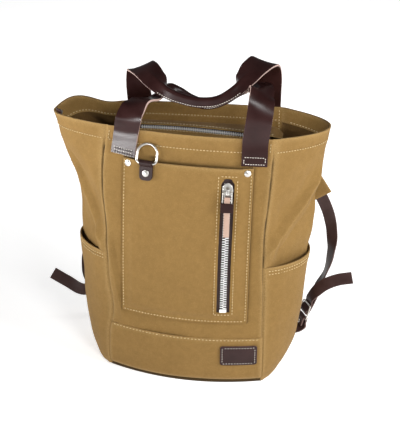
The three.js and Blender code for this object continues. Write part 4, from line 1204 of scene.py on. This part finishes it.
def pocket_zip_path(t):
    height = mix(ZIP_SLOT_LOW + ZIP_END, ZIP_SLOT_TOP - ZIP_END, np.array([t]))
    lift = -POCKET_CANVAS + 1.1
    here = on_pocket(ZIP_X, height, lift)[0]
    along = unit(on_pocket(ZIP_X, height + 2, lift)[0] - on_pocket(ZIP_X, height - 2, lift)[0])
    across = unit(on_pocket(ZIP_X + 2, height, lift)[0] - on_pocket(ZIP_X - 2, height, lift)[0])
    return here, along, across, np.cross(across, along)


def top_zip_path(t):
    x = mix(*TOP_CHAIN_ENDS, t)
    here = np.array([x, TOP_ZIP_Y, zip_line(x) - 0.2])
    along = unit(np.array([4, 0, zip_line(x + 2) - zip_line(x - 2)]))
    across = np.array([0.0, 1.0, 0.0])
    return here, along, across, np.cross(along, across)


def face_frame(surface, x, height, lift):
    """A place on a face: X along the face, Y into it, Z up it."""
    def spot(a, b):
        return surface(np.array([float(a)]), np.array([float(b)]), lift)[0]
    right = unit(spot(x + 4, height) - spot(x - 4, height))
    up = unit(spot(x, height + 6) - spot(x, height - 6))
    into = unit(np.cross(up, right))
    up = np.cross(right, into)
    return spot(x, height), np.stack([right, into, up])


SLIDER_HEIGHT = 321
SLIDER_LIFT = -POCKET_CANVAS + 1.4
SLIDER_HALF = 7.8
SLIDER_REACH = 12
SLIDER_RISE = 1.4
SLIDER_THICK = 2.2
BRIDGE_HALF = 2.2
BRIDGE_FOOT = 2.0
BRIDGE_SHIFT = 1
BRIDGE_REACH = 5.2
BRIDGE_RISE = 4.9
BRIDGE_THICK = 1.3


def make_slider():
    """The pocket zip's slider: a plate with a round head, and a bridge that holds the pull."""
    origin, turn = face_frame(on_pocket, ZIP_X, SLIDER_HEIGHT, SLIDER_LIFT)
    bm = bmesh.new()
    bmesh.ops.create_circle(bm, cap_ends=True, segments=40, radius=1)
    for vert in bm.verts:
        x, z = vert.co.x, vert.co.y
        taper = 1 if z > 0 else 1 - 0.34 * min(1, -z * 1.6)
        square = math.copysign(abs(x) ** (1 if z > 0 else 0.55), x)
        vert.co = (square * SLIDER_HALF * taper, -SLIDER_THICK, z * SLIDER_REACH + SLIDER_RISE)
    bmesh.ops.recalc_face_normals(bm, faces=bm.faces)
    if next(iter(bm.faces)).normal.y > 0:
        bmesh.ops.reverse_faces(bm, faces=bm.faces)
    bmesh.ops.transform(bm, matrix=placing(origin, turn), verts=bm.verts)
    plate = object_from(bm, "pocket_zip_runner")
    solid_wall(plate, SLIDER_THICK)
    soft_edges(plate, 0.7, 3)
    place_piece(plate, [NICKEL], "silver_metal", ["pocket_zip_slider"])

    def bridge(u, v):
        swing = mix(-1, 1, u)
        x = mix(-BRIDGE_HALF, BRIDGE_HALF, v)
        y = -BRIDGE_FOOT - BRIDGE_RISE * np.sqrt(np.maximum(0, 1 - swing**4))
        return origin + np.stack([x, y, swing * BRIDGE_REACH + BRIDGE_SHIFT], -1) @ turn

    arch = bent_grid("pocket_zip_runner_bridge", 24, 4, bridge)
    solid_wall(arch, BRIDGE_THICK)
    soft_edges(arch, 0.4)
    place_piece(arch, [NICKEL], "silver_metal")


def make_zips():
    def tape(u, v):
        x = mix(ZIP_X - ZIP_TAPE_HALF, ZIP_X + ZIP_TAPE_HALF, u)
        height = mix(ZIP_SLOT_LOW - ZIP_END, ZIP_SLOT_TOP + ZIP_END, v)
        return on_pocket(x, height, -POCKET_CANVAS - GAP)

    zip_ribbon("pocket_zip_ribbon", 6, 70, tape, "pocket_zip_tape")
    zip_chain("pocket_zip_chain", pocket_zip_path, POCKET_CHAIN_HALF, "pocket_zip_teeth")
    zip_chain("top_zip_chain", top_zip_path, TOP_CHAIN_HALF, "top_zip_teeth")
    refined_node("pocket_zip_bottom_stop", "pocket_zip_stop", 0.5, ZIP_METAL, "silver_metal")
    make_slider()
    pull_pieces = (
        ("pocket_zip_pull_loop", "pocket_zip_pull_ring", 0.6, NICKEL, "silver_metal"),
        ("pocket_zip_pull_strap", "pocket_zip_pull_strip", 0.5, PALE_LEATHER, "pale_leather"),
        ("pocket_zip_pull_band", "pocket_zip_pull_keeper", 0.6, DARK_LEATHER, "dark_leather"),
    )
    for name, node_name, edge, finish, slot in pull_pieces:
        refined_node(name, node_name, edge, finish, slot, "zip_pull")
    refined_node("top_zip_runner", "top_zip_slider", 1.6, NICKEL, "silver_metal")


# Straps

COURSE_STEPS = 1601


class Course:
    """A strap's line through the rows of a table, with the width direction and fold at each place."""

    def __init__(self, rows):
        self.rows = np.array([tuple(r) + (0.0,) * (7 - len(r)) for r in rows], float)
        self.t = np.linspace(0, 1, COURSE_STEPS)
        steps = np.linalg.norm(np.diff(self.point(self.t), axis=0), axis=1)
        self.run = np.concatenate([[0], np.cumsum(steps)])

    def span(self, t):
        last = len(self.rows) - 1
        at = np.clip(t, 0, 1) * last
        i = np.minimum(np.floor(at).astype(int), last - 1)
        return i, at - i

    def point(self, t):
        i, f = self.span(t)
        c = self.rows[:, :3]
        ends = np.vstack([2 * c[0] - c[1], c, 2 * c[-1] - c[-2]])
        p0, p1, p2, p3 = ends[i], ends[i + 1], ends[i + 2], ends[i + 3]
        gaps = (p1 - p0, p2 - p1, p3 - p2)
        d0, d1, d2 = (np.sqrt(np.linalg.norm(gap, axis=1))[:, None] for gap in gaps)
        m1 = ((p1 - p0) / d0 - (p2 - p0) / (d0 + d1) + (p2 - p1) / d1) * d1
        m2 = ((p2 - p1) / d1 - (p3 - p1) / (d1 + d2) + (p3 - p2) / d2) * d1
        f = f[:, None]
        third = 2 * p1 - 2 * p2 + m1 + m2
        second = -3 * p1 + 3 * p2 - 2 * m1 - m2
        return p1 + m1 * f + second * f**2 + third * f**3

    def at(self, u):
        t = np.interp(np.asarray(u) * self.run[-1], self.run, self.t)
        along = unit(self.point(np.minimum(1, t + 1e-4)) - self.point(np.maximum(0, t - 1e-4)))
        i, f = self.span(t)
        ease = (f * f * (3 - 2 * f))[:, None]
        wide = mix(self.rows[i, 3:6], self.rows[i + 1, 3:6], ease)
        wide = unit(wide - along * (wide * along).sum(1, keepdims=True))
        fold = mix(self.rows[i, 6], self.rows[i + 1, 6], ease[:, 0])
        return self.point(t), wide, np.cross(along, wide), fold


def strap_face(course, width, u, v, lift):
    """A strap's surface: v runs across it, and lift is measured from its middle layer."""
    centre, wide, out, fold = course.at(u)
    s = (np.asarray(v) - 0.5) * width * (1 - GRIP_TRIM * fold)
    turn = fold * np.pi * 0.48
    bend = np.clip(s / GRIP_FOLD_RADIUS, -turn, turn)
    rest = s - bend * GRIP_FOLD_RADIUS
    across = GRIP_FOLD_RADIUS * np.sin(bend) + rest * np.cos(bend) + lift * np.sin(bend)
    drop = GRIP_FOLD_RADIUS * (1 - np.cos(bend)) + rest * np.sin(bend) - lift * np.cos(bend)
    return centre + wide * across[:, None] - out * drop[:, None]


def make_strap(name, course, width, thick, columns, rows, finishes, slot, nodes, bevel=0.5):
    def place(u, v):
        return strap_face(course, width, u, v, thick / 2)
    strap = bent_grid(name, columns, rows, place, STRAP_WEAR)
    solid_wall(strap, thick, len(finishes) - 1)
    soft_edges(strap, bevel)
    return place_piece(strap, finishes, slot, nodes)


def flat_rows(surface, x, heights, way, lean=0.0):
    rows = []
    for height in heights:
        spot = surface(x + lean * (height - HANDLE_END), height, HANDLE_SEAT + HANDLE_LEATHER / 2)[0]
        across = unit(surface(x + 8, height, 0)[0] - surface(x - 8, height, 0)[0])
        rows.append((*spot, across[0] * way, across[1] * way, 0, 0))
    return rows


UP_ROWS = (HANDLE_END, 375, 392)
DOWN_ROWS = UP_ROWS[::-1]
FRONT_HANDLE = Course([
    *flat_rows(on_front, -HANDLE_X, UP_ROWS, -1, HANDLE_LEAN),
    *HANDLE_FRONT,
    *flat_rows(on_front, HANDLE_X, DOWN_ROWS, 1),
])
BACK_HANDLE = Course([
    *flat_rows(on_back, BACK_HANDLE_X[0], UP_ROWS, 1),
    *HANDLE_BACK,
    *flat_rows(on_back, BACK_HANDLE_X[1], DOWN_ROWS, -1),
])


def make_handles():
    for name, course in (("handle_front", FRONT_HANDLE), ("handle_back", BACK_HANDLE)):
        make_strap(f"{name}_leather", course, HANDLE_WIDTH, HANDLE_LEATHER, 190, 26,
                   [DARK_LEATHER, CUT_EDGE], "dark_leather", [name])


def buckle_rows(side):
    """Places round a buckle: row(a, n) lies a along the strap and n off the buckle's plane."""
    centre, up, wide = (np.array(v, float) for v in BUCKLES[side])
    wide = unit(wide)
    up = unit(up - wide * up.dot(wide))
    out = unit(np.cross(up, wide)) * -side

    def row(a, n):
        return (*(centre + up * a + out * n), *wide)
    return centre, up, wide, out, row


def shoulder_course(side):
    row = buckle_rows(side)[4]
    near = BUCKLE_NEAR
    slant = math.asin(2 * near / BUCKLE_PITCH)
    layer = STRAP_LEATHER + 0.6
    wrap = [row(BUCKLE_PITCH + 9, -near - layer - 1.4), row(BUCKLE_PITCH, -near - layer)]
    for turn in np.linspace(-math.pi * 0.5, -math.pi * 1.5 - slant, 8):
        wrap.append(row(math.cos(turn) * near, math.sin(turn) * near))
    wrap.append(row(BUCKLE_PITCH - math.sin(slant) * near, -math.cos(slant) * near))
    wrap.append(row(BUCKLE_PITCH + 1, -near))
    wrap.append(row(BUCKLE_PITCH + 9, -near + 0.6))
    return Course([*STRAP_COURSE[side], *wrap, *TAIL_COURSE[side]])


def lower_course(side):
    row = buckle_rows(side)[4]
    near = BUCKLE_NEAR + 0.2
    rows = [row(-BUCKLE_PITCH - LOOP_END, near), row(-BUCKLE_PITCH - LOOP_RIVET, near)]
    for turn in np.linspace(math.pi * 0.6, -math.pi * 0.6, 5):
        rows.append(row(-BUCKLE_PITCH + math.cos(turn) * near, math.sin(turn) * near))
    rows.append(row(-BUCKLE_PITCH - LOOP_RIVET, -near))
    rows.extend(LOWER_COURSE[side])
    for x in LOWER_SEAT:
        seat = on_back(side * x, LOWER_SEAT_HEIGHT, STRAP_SEAT + STRAP_LEATHER / 2)[0]
        rows.append((*seat, side * 0.05, 0, -1))
    return Course(rows)


def pad_course(side):
    rows = []
    for x, z in PAD_SEAT:
        spot = on_back(side * x, z, STRAP_SEAT + PAD_CANVAS / 2)[0]
        far = on_back(side * (x + PAD_SLANT[0]), z + PAD_SLANT[1], 0)[0]
        near = on_back(side * (x - PAD_SLANT[0]), z - PAD_SLANT[1], 0)[0]
        rows.append((*spot, *unit(far - near)))
    rows.extend((side * r[0], r[1], r[2], side * r[3], r[4], r[5]) for r in PAD_COURSE)
    return Course(rows)


def wire_piece(name, outline, wire, turn, origin, node_name, body="bag", bars=()):
    """Round wire bent along a closed outline in its own plane, with straight bars across it."""
    curve = bpy.data.curves.new(name, "CURVE")
    curve.dimensions = "3D"
    curve.bevel_depth = wire / 2 * MM
    curve.bevel_resolution = 5
    curve.use_fill_caps = True
    for line, closed in ((outline, True), *((bar, False) for bar in bars)):
        spline = curve.splines.new("POLY")
        spline.points.add(len(line) - 1)
        for spot, place in zip(spline.points, (origin + np.asarray(line) @ turn) * MM):
            spot.co = (*place, 1)
        spline.use_cyclic_u = closed
    shaped = linked(name + "_line", curve)
    bpy.context.view_layer.update()
    mesh = bpy.data.meshes.new_from_object(shaped.evaluated_get(bpy.context.evaluated_depsgraph_get()))
    mesh.name = name
    mesh.shade_smooth()
    mesh.materials.clear()
    bpy.data.objects.remove(shaped)
    return place_piece(linked(name, mesh), [NICKEL], "silver_metal", [node_name], body)


def arc(x, z, radius, start, end, steps=12):
    turn = np.radians(np.linspace(start, end, steps))
    return np.stack([x + radius * np.cos(turn), np.zeros(steps), z + radius * np.sin(turn)], -1)


def make_buckle(side, name):
    centre, up, wide, out = buckle_rows(side)[:4]
    flat = BUCKLE_HALF - BUCKLE_CORNER
    high = BUCKLE_PITCH - BUCKLE_CORNER
    outline = np.concatenate([
        arc(flat, -high, BUCKLE_CORNER, -90, 0), arc(flat, high, BUCKLE_CORNER, 0, 90),
        arc(-flat, high, BUCKLE_CORNER, 90, 180), arc(-flat, -high, BUCKLE_CORNER, 180, 270),
    ])
    bar = np.array([(-BUCKLE_HALF, 0, 0), (BUCKLE_HALF, 0, 0)], float)
    turn = np.stack([wide, out, up])
    wire_piece(f"buckle_wire_{name}", outline, BUCKLE_WIRE, turn, centre, f"buckle_{name}", bars=[bar])


def make_shoulder_straps():
    leathers = (("shoulder_strap", shoulder_course, 240), ("lower_strap", lower_course, 90))
    for side, name in SIDE_NAMES.items():
        pad = make_strap(f"shoulder_pad_cloth_{name}", pad_course(side), PAD_WIDTH, PAD_CANVAS, 70, 16,
                         [TAN_CANVAS], "canvas", [f"shoulder_pad_{name}"], 0.9)
        declare_cloth(pad)
        for kind, course, columns in leathers:
            make_strap(f"{kind}_leather_{name}", course(side), STRAP_WIDTH, STRAP_LEATHER, columns, 8,
                       [STRAP_LEATHER_FINISH, DARK_EDGE], "dark_leather", [f"{kind}_{name}"])
        make_buckle(side, name)
        refined_node(f"lower_rivet_head_{name}", f"lower_rivet_{name}", 0.5, NICKEL, "silver_metal")


# Ring, tab, rivets, snap and patch

TAB_LEATHER = 1.8
RING_BAR_Z = 11
RING_BAR_Y = -GAP - TAB_LEATHER - (RING_WIRE / 2 + 0.5)

# Half profile of a rivet head: share of the radius, share of the height
RIVET_PROFILE = (
    (0, 1.0), (0.3, 0.97), (0.55, 0.86), (0.72, 0.7), (0.8, 0.6),
    (0.86, 0.62), (0.95, 0.55), (1.0, 0.35), (1.0, 0.0),
)


def rivet_head(name, origin, turn, node_name):
    """A domed head with a rolled rim, spun from its profile. Its top points along -Y of turn."""
    bm = bmesh.new()
    verts = [bm.verts.new((r * RIVET_RADIUS, -h * RIVET_HEIGHT, 0)) for r, h in RIVET_PROFILE]
    edges = [bm.edges.new(pair) for pair in zip(verts, verts[1:])]
    bmesh.ops.spin(bm, geom=verts + edges, cent=(0, 0, 0), axis=(0, 1, 0), angle=2 * math.pi, steps=28,
                   use_merge=True)
    bmesh.ops.remove_doubles(bm, verts=bm.verts, dist=1e-4)
    bmesh.ops.holes_fill(bm, edges=bm.edges, sides=40)
    bmesh.ops.recalc_face_normals(bm, faces=bm.faces)
    bmesh.ops.transform(bm, matrix=placing(origin, turn), verts=bm.verts)
    return place_piece(object_from(bm, name), [NICKEL], "silver_metal", [node_name])


def make_ring():
    origin, turn = face_frame(on_pocket, RING_X, POCKET_TOP - RING_DROP, 0)
    refined_node("ring_tab_leather", "d_ring_tab", 0.6, MATT_LEATHER, "dark_leather")
    lean = np.radians(-RING_LEAN)
    tip = np.array([[1, 0, 0], [0, math.cos(lean), -math.sin(lean)], [0, math.sin(lean), math.cos(lean)]])
    flat = RING_HALF - RING_CORNER
    outline = np.concatenate([
        arc(flat, RING_CORNER, RING_CORNER, -90, 0),
        arc(0, RING_RISE - RING_HALF, RING_HALF, 0, 180, 32),
        arc(-flat, RING_CORNER, RING_CORNER, 180, 270),
    ])
    bar = origin + np.array([0, RING_BAR_Y, RING_BAR_Z]) @ turn
    wire_piece("ring_wire", outline, RING_WIRE, tip @ turn, bar, "d_ring", "ring")
    seat = origin + np.array([0, -GAP * 2 - TAB_LEATHER * 2, RING_RIVET_Z]) @ turn
    rivet_head("ring_tab_rivet", seat, turn, "d_ring_rivet")


def make_rivets():
    for side, name in SIDE_NAMES.items():
        spot = (side * POCKET_RIVET_X, POCKET_TOP - POCKET_RIVET_DROP)
        origin, turn = face_frame(on_soft_pocket, *spot, -0.2)
        rivet_head(f"pocket_rivet_head_{name}", origin, turn, f"pocket_rivet_{name}")


def make_snap():
    refined_node("ear_snap_leather", "ear_snap_tab", 0.5, DARK_LEATHER, "dark_leather")
    refined_node("ear_snap_button", "ear_snap_cap", 0.5, NICKEL, "silver_metal")


def patch_face(u, v, lift):
    """The label's face: a rectangle with round corners on the base band."""
    wide = LABEL_WIDTH / 2 - LABEL_CORNER
    high = LABEL_HEIGHT / 2 - LABEL_CORNER
    a = (np.asarray(u) - 0.5) * LABEL_WIDTH
    b = (np.asarray(v) - 0.5) * LABEL_HEIGHT
    p = np.maximum(0, np.abs(a) - wide)
    q = np.maximum(0, np.abs(b) - high)
    pull = np.maximum(p, q) / np.maximum(np.hypot(p, q), 1e-9)
    a = np.where(p * q > 0, np.sign(a) * (wide + p * pull), a)
    b = np.where(p * q > 0, np.sign(b) * (high + q * pull), b)
    return on_front(LABEL_X + a, LABEL_LOW + LABEL_HEIGHT / 2 + b, GAP * 2 + POCKET_CANVAS + lift)


def make_patch():
    def place(u, v):
        return patch_face(u, v, LABEL_LEATHER)
    patch = bent_grid("label_patch_leather", 54, 34, place, LABEL_WEAR)
    solid_wall(patch, LABEL_LEATHER, 1)
    soft_edges(patch, 0.5)
    place_piece(patch, [DARK_LEATHER, DARK_EDGE], "dark_leather", ["label_patch"])


# Sewing

SEWN_STEPS = 160
SEWN_LINE = np.linspace(0, 1, SEWN_STEPS)
SLOT_SEAM = 4
RIM_INSET = 5
INSIDE_HEM = -CANVAS - HEM_FOLD
FLANGE_TOP = 1.7
PATCH_LINE = (0.06, 0.94, 0.09, 0.91)
END_BOX = (3, 13)
END_BOX_ACROSS = (0.09, 0.91)
GRIP_SHARE = 0.55
GRIP_LINES = (0.07, 0.93)
PAD_LINES = (0.1, 0.9)


def steady(count, value):
    return np.full(count, float(value))


def box_path(low_a, high_a, low_b, high_b, sides="left bottom right top", steps=60):
    """Points round a rectangle, side by side in the order given."""
    line = np.linspace(0, 1, steps)
    runs = {
        "left": (steady(steps, low_a), mix(high_b, low_b, line)),
        "bottom": (mix(low_a, high_a, line), steady(steps, low_b)),
        "right": (steady(steps, high_a), mix(low_b, high_b, line)),
        "top": (mix(high_a, low_a, line), steady(steps, high_b)),
    }
    return [runs[side] for side in sides.split()]


def make_rim_sewing():
    hem = steady(SEWN_STEPS, HEM_LINE)
    s = section(hem)
    front_x = mix(s["seam_left"] + RIM_INSET, s["seam_right"] - RIM_INSET, SEWN_LINE)
    back_x = mix(-s["back_half"] + RIM_INSET, s["back_half"] - RIM_INSET, SEWN_LINE)
    rows = [
        stitch_row(on_front, front_x, hem, 0.5),
        stitch_row(on_back, back_x, hem, 0.2),
        stitch_row(on_back, back_x, hem, INSIDE_HEM),
        stitch_row(on_front, front_x, hem, INSIDE_HEM),
    ]
    for side in SIDE_NAMES:
        def gusset(a, b, lift, side=side):
            return on_side(side, a, b, lift)
        rows.append(stitch_row(gusset, mix(0.015, 0.985, SEWN_LINE), hem, 0.6))
        rows.append(stitch_row(gusset, mix(0.03, 0.97, SEWN_LINE), hem, INSIDE_HEM))
    for edge in ("seam_left", "seam_right"):
        heights = np.linspace(HEM_LINE, RIM_HEIGHT - 2, 20)
        rows.append(stitch_row(on_front, section(heights)[edge] * 0.96, heights, 0.5))
    for way in (-1, 1):
        for low, count, inset, lift in ((340, 40, RIM_INSET, INSIDE_HEM), (10, 200, 7, 0.6)):
            heights = np.linspace(low, RIM_HEIGHT - 2, count)
            x = way * (section(heights)["back_half"] - inset)
            rows.append(stitch_row(on_back, x, heights, lift))
    stitching("rim_stitches", rows, TAN_THREAD)


def make_pocket_sewing():
    half = POCKET_HALF - 2.4
    outline = box_path(-half, half, POCKET_LOW + 3, POCKET_TOP - 1, "left bottom right")
    rows = [stitch_row(on_soft_pocket, a, b, 0.1) for a, b in outline]
    half = ZIP_SLOT_HALF + SLOT_SEAM
    slot = box_path(ZIP_X - half, ZIP_X + half, ZIP_SLOT_LOW - SLOT_SEAM, ZIP_SLOT_TOP + SLOT_SEAM)
    rows += [stitch_row(on_soft_pocket, a, b, 0.4) for a, b in slot]
    stitching("pocket_stitches", rows, TAN_THREAD)


def make_low_sewing():
    rows = []
    for side in SIDE_NAMES:
        def face(a, b, lift, side=side):
            return side_pocket_face(side, a, b, lift)
        for down in (6, 11):
            heights = steady(SEWN_STEPS, SIDE_POCKET_TOP - down)
            rows.append(stitch_row(face, mix(0.03, 0.97, SEWN_LINE), heights, 0.15))
    heights = steady(SEWN_STEPS, BAND_TOP - 2.4)
    s = section(heights)
    band_x = mix(s["seam_left"] + 4, s["seam_right"] - 4, SEWN_LINE)
    rows.append(stitch_row(on_front, band_x, heights, GAP + POCKET_CANVAS + 0.1, *BAND_STITCH))
    stitching("low_stitches", rows, TAN_THREAD)


def make_closing_sewing():
    x = mix(-FLANGE_HALF + 3, FLANGE_HALF - 3, SEWN_LINE)

    def face(a, b, lift):
        return points(a, b, zip_line(a) + FLANGE_TOP + lift)
    rows = [stitch_row(face, x, steady(SEWN_STEPS, TOP_ZIP_Y + away), 0.0) for away in (13, -12)]
    stitching("closing_panel_stitches", rows, TAN_THREAD)


def make_patch_sewing():
    rows = [stitch_row(patch_face, a, b, 1.9, *PATCH_STITCH) for a, b in box_path(*PATCH_LINE)]
    stitching("patch_stitches", rows, WHITE_THREAD, "dark_leather")


def make_handle_sewing():
    """Boxes at the ends and lines along the grips. The front's left end has dark bars and specks."""
    white, dark = [], []
    for course in (FRONT_HANDLE, BACK_HANDLE):
        def face(a, b, lift, course=course):
            return strap_face(course, HANDLE_WIDTH, a, b, HANDLE_LEATHER / 2 + lift)
        length = course.run[-1]
        near, far = (away / length for away in END_BOX)
        boxes = [(near, far), (1 - near, 1 - far)]
        if course is FRONT_HANDLE:
            boxes.pop(0)
            line = np.linspace(0.08, 0.92, 60)
            for down in (2.6, 8.2):
                dark.append(stitch_row(face, steady(60, down / length), line, 0.1, *END_BAR))
            for down in (1.0, 5.4, 9.8):
                white.append(stitch_row(face, steady(60, down / length), line, 0.1, *END_SPECK, 1.8))
        for start, end in boxes:
            box = box_path(start, end, *END_BOX_ACROSS)
            white.extend(stitch_row(face, a, b, 0.05, *BOX_STITCH) for a, b in box)
        shares = np.linspace(0, 1, 400)
        span = shares[course.at(shares)[3] > GRIP_SHARE]
        line = np.linspace(span[0], span[-1], 120)
        for across in GRIP_LINES:
            white.append(stitch_row(face, line, steady(120, across), 0.05, *GRIP_STITCH))
    stitching("handle_stitches", white, WHITE_THREAD, "dark_leather")
    stitching("handle_end_stitches", dark, DARK_THREAD, "dark_leather")


def make_pad_sewing():
    rows = []
    line = np.linspace(0.01, 0.985, 120)
    for side in SIDE_NAMES:
        course = pad_course(side)

        def face(a, b, lift, course=course, side=side):
            return strap_face(course, PAD_WIDTH, a, b, -side * (PAD_CANVAS / 2 + lift))
        for across in PAD_LINES:
            rows.append(stitch_row(face, line, steady(120, across), 0.1))
    stitching("shoulder_pad_stitches", rows, TAN_THREAD)


# Stage

CAMERA_TARGET = np.array([7.8, 0, 234.1])
CAMERA_AZIMUTH = 10.2
CAMERA_ELEVATION = 27
CAMERA_ROLL = 1.0
CAMERA_DISTANCE = 2000
CAMERA_LENS = 109.6
SENSOR_HEIGHT = 36
FLOOR_HALF = 6
FLOOR_GLOW = 0.6
SKY_STRENGTH = 0.1

# Lights in metres, watts and degrees: name, place, target, size, power, spread
LIGHTS = (
    ("front_softbox", (0.6, -1.0, 1.1), (0, -0.05, 0.34), (0.35, 0.35), 7.3, 180),
    ("right_softbox", (1.35, -0.5, 0.7), (0, -0.02, 0.2), (0.5, 0.5), 18, 180),
    ("low_left", (-0.62, -0.92, 0.2), (-0.09, -0.06, 0.4), (0.18, 0.16), 0.85, 70),
    ("left_softbox", (-1.15, -0.42, 0.5), (-0.14, 0, 0.43), (0.3, 0.3), 1.1, 50),
    ("background", (0, 0.8, 1.2), (0, 2.0, 0), (1.6, 0.8), 12, 180),
)


def make_camera():
    a, e, r = (math.radians(v) for v in (CAMERA_AZIMUTH, CAMERA_ELEVATION, CAMERA_ROLL))
    back = np.array([math.sin(a) * math.cos(e), -math.cos(a) * math.cos(e), math.sin(e)])
    right = np.array([math.cos(a), math.sin(a), 0])
    up = np.cross(back, right)
    turned_right = math.cos(r) * right + math.sin(r) * up
    turned_up = math.cos(r) * up - math.sin(r) * right
    lens = bpy.data.cameras.new("photo_camera")
    lens.sensor_fit = "VERTICAL"
    lens.sensor_height = SENSOR_HEIGHT
    lens.lens = CAMERA_LENS
    camera = linked("photo_camera", lens)
    turn = Matrix((turned_right, turned_up, back)).transposed().to_4x4()
    camera.matrix_world = Matrix.Translation(Vector((CAMERA_TARGET + back * CAMERA_DISTANCE) * MM)) @ turn
    bpy.context.scene.camera = camera


def area_light(name, place, target, size, power, spread):
    lamp = bpy.data.lights.new(name, "AREA")
    lamp.shape = "RECTANGLE"
    lamp.size, lamp.size_y = size
    lamp.energy = power
    lamp.spread = math.radians(spread)
    obj = linked(name, lamp)
    obj.location = place
    way = Vector(target) - Vector(place)
    obj.rotation_euler = way.to_track_quat("-Z", "Y").to_euler()


def make_stage():
    bm = bmesh.new()
    bmesh.ops.create_grid(bm, x_segments=2, y_segments=2, size=FLOOR_HALF)
    floor = object_from(bm, "pale_floor")
    finish, tree, shader = new_finish("pale_floor")
    feed_shader(tree, shader, {
        "Base Color": (0.92, 0.92, 0.92, 1),
        "Roughness": 0.7,
        "Specular IOR Level": 0.1,
        "Emission Color": (1, 1, 1, 1),
        "Emission Strength": FLOOR_GLOW,
    })
    floor.data.materials.append(finish)
    world = bpy.data.worlds.new("studio")
    world.use_nodes = True
    sky = world.node_tree.nodes["Background"]
    feed_shader(world.node_tree, sky, {"Color": (1, 1, 1, 1), "Strength": SKY_STRENGTH})
    bpy.context.scene.world = world
    bpy.context.scene.view_settings.view_transform = "Standard"
    for light in LIGHTS:
        area_light(*light)


make_camera()
make_body()
make_hems()
make_front_pocket()
make_closing_panel()
make_zips()
make_handles()
make_shoulder_straps()
make_ring()
make_rivets()
make_snap()
make_patch()
make_rim_sewing()
make_pocket_sewing()
make_low_sewing()
make_closing_sewing()
make_patch_sewing()
make_handle_sewing()
make_pad_sewing()
make_stage()
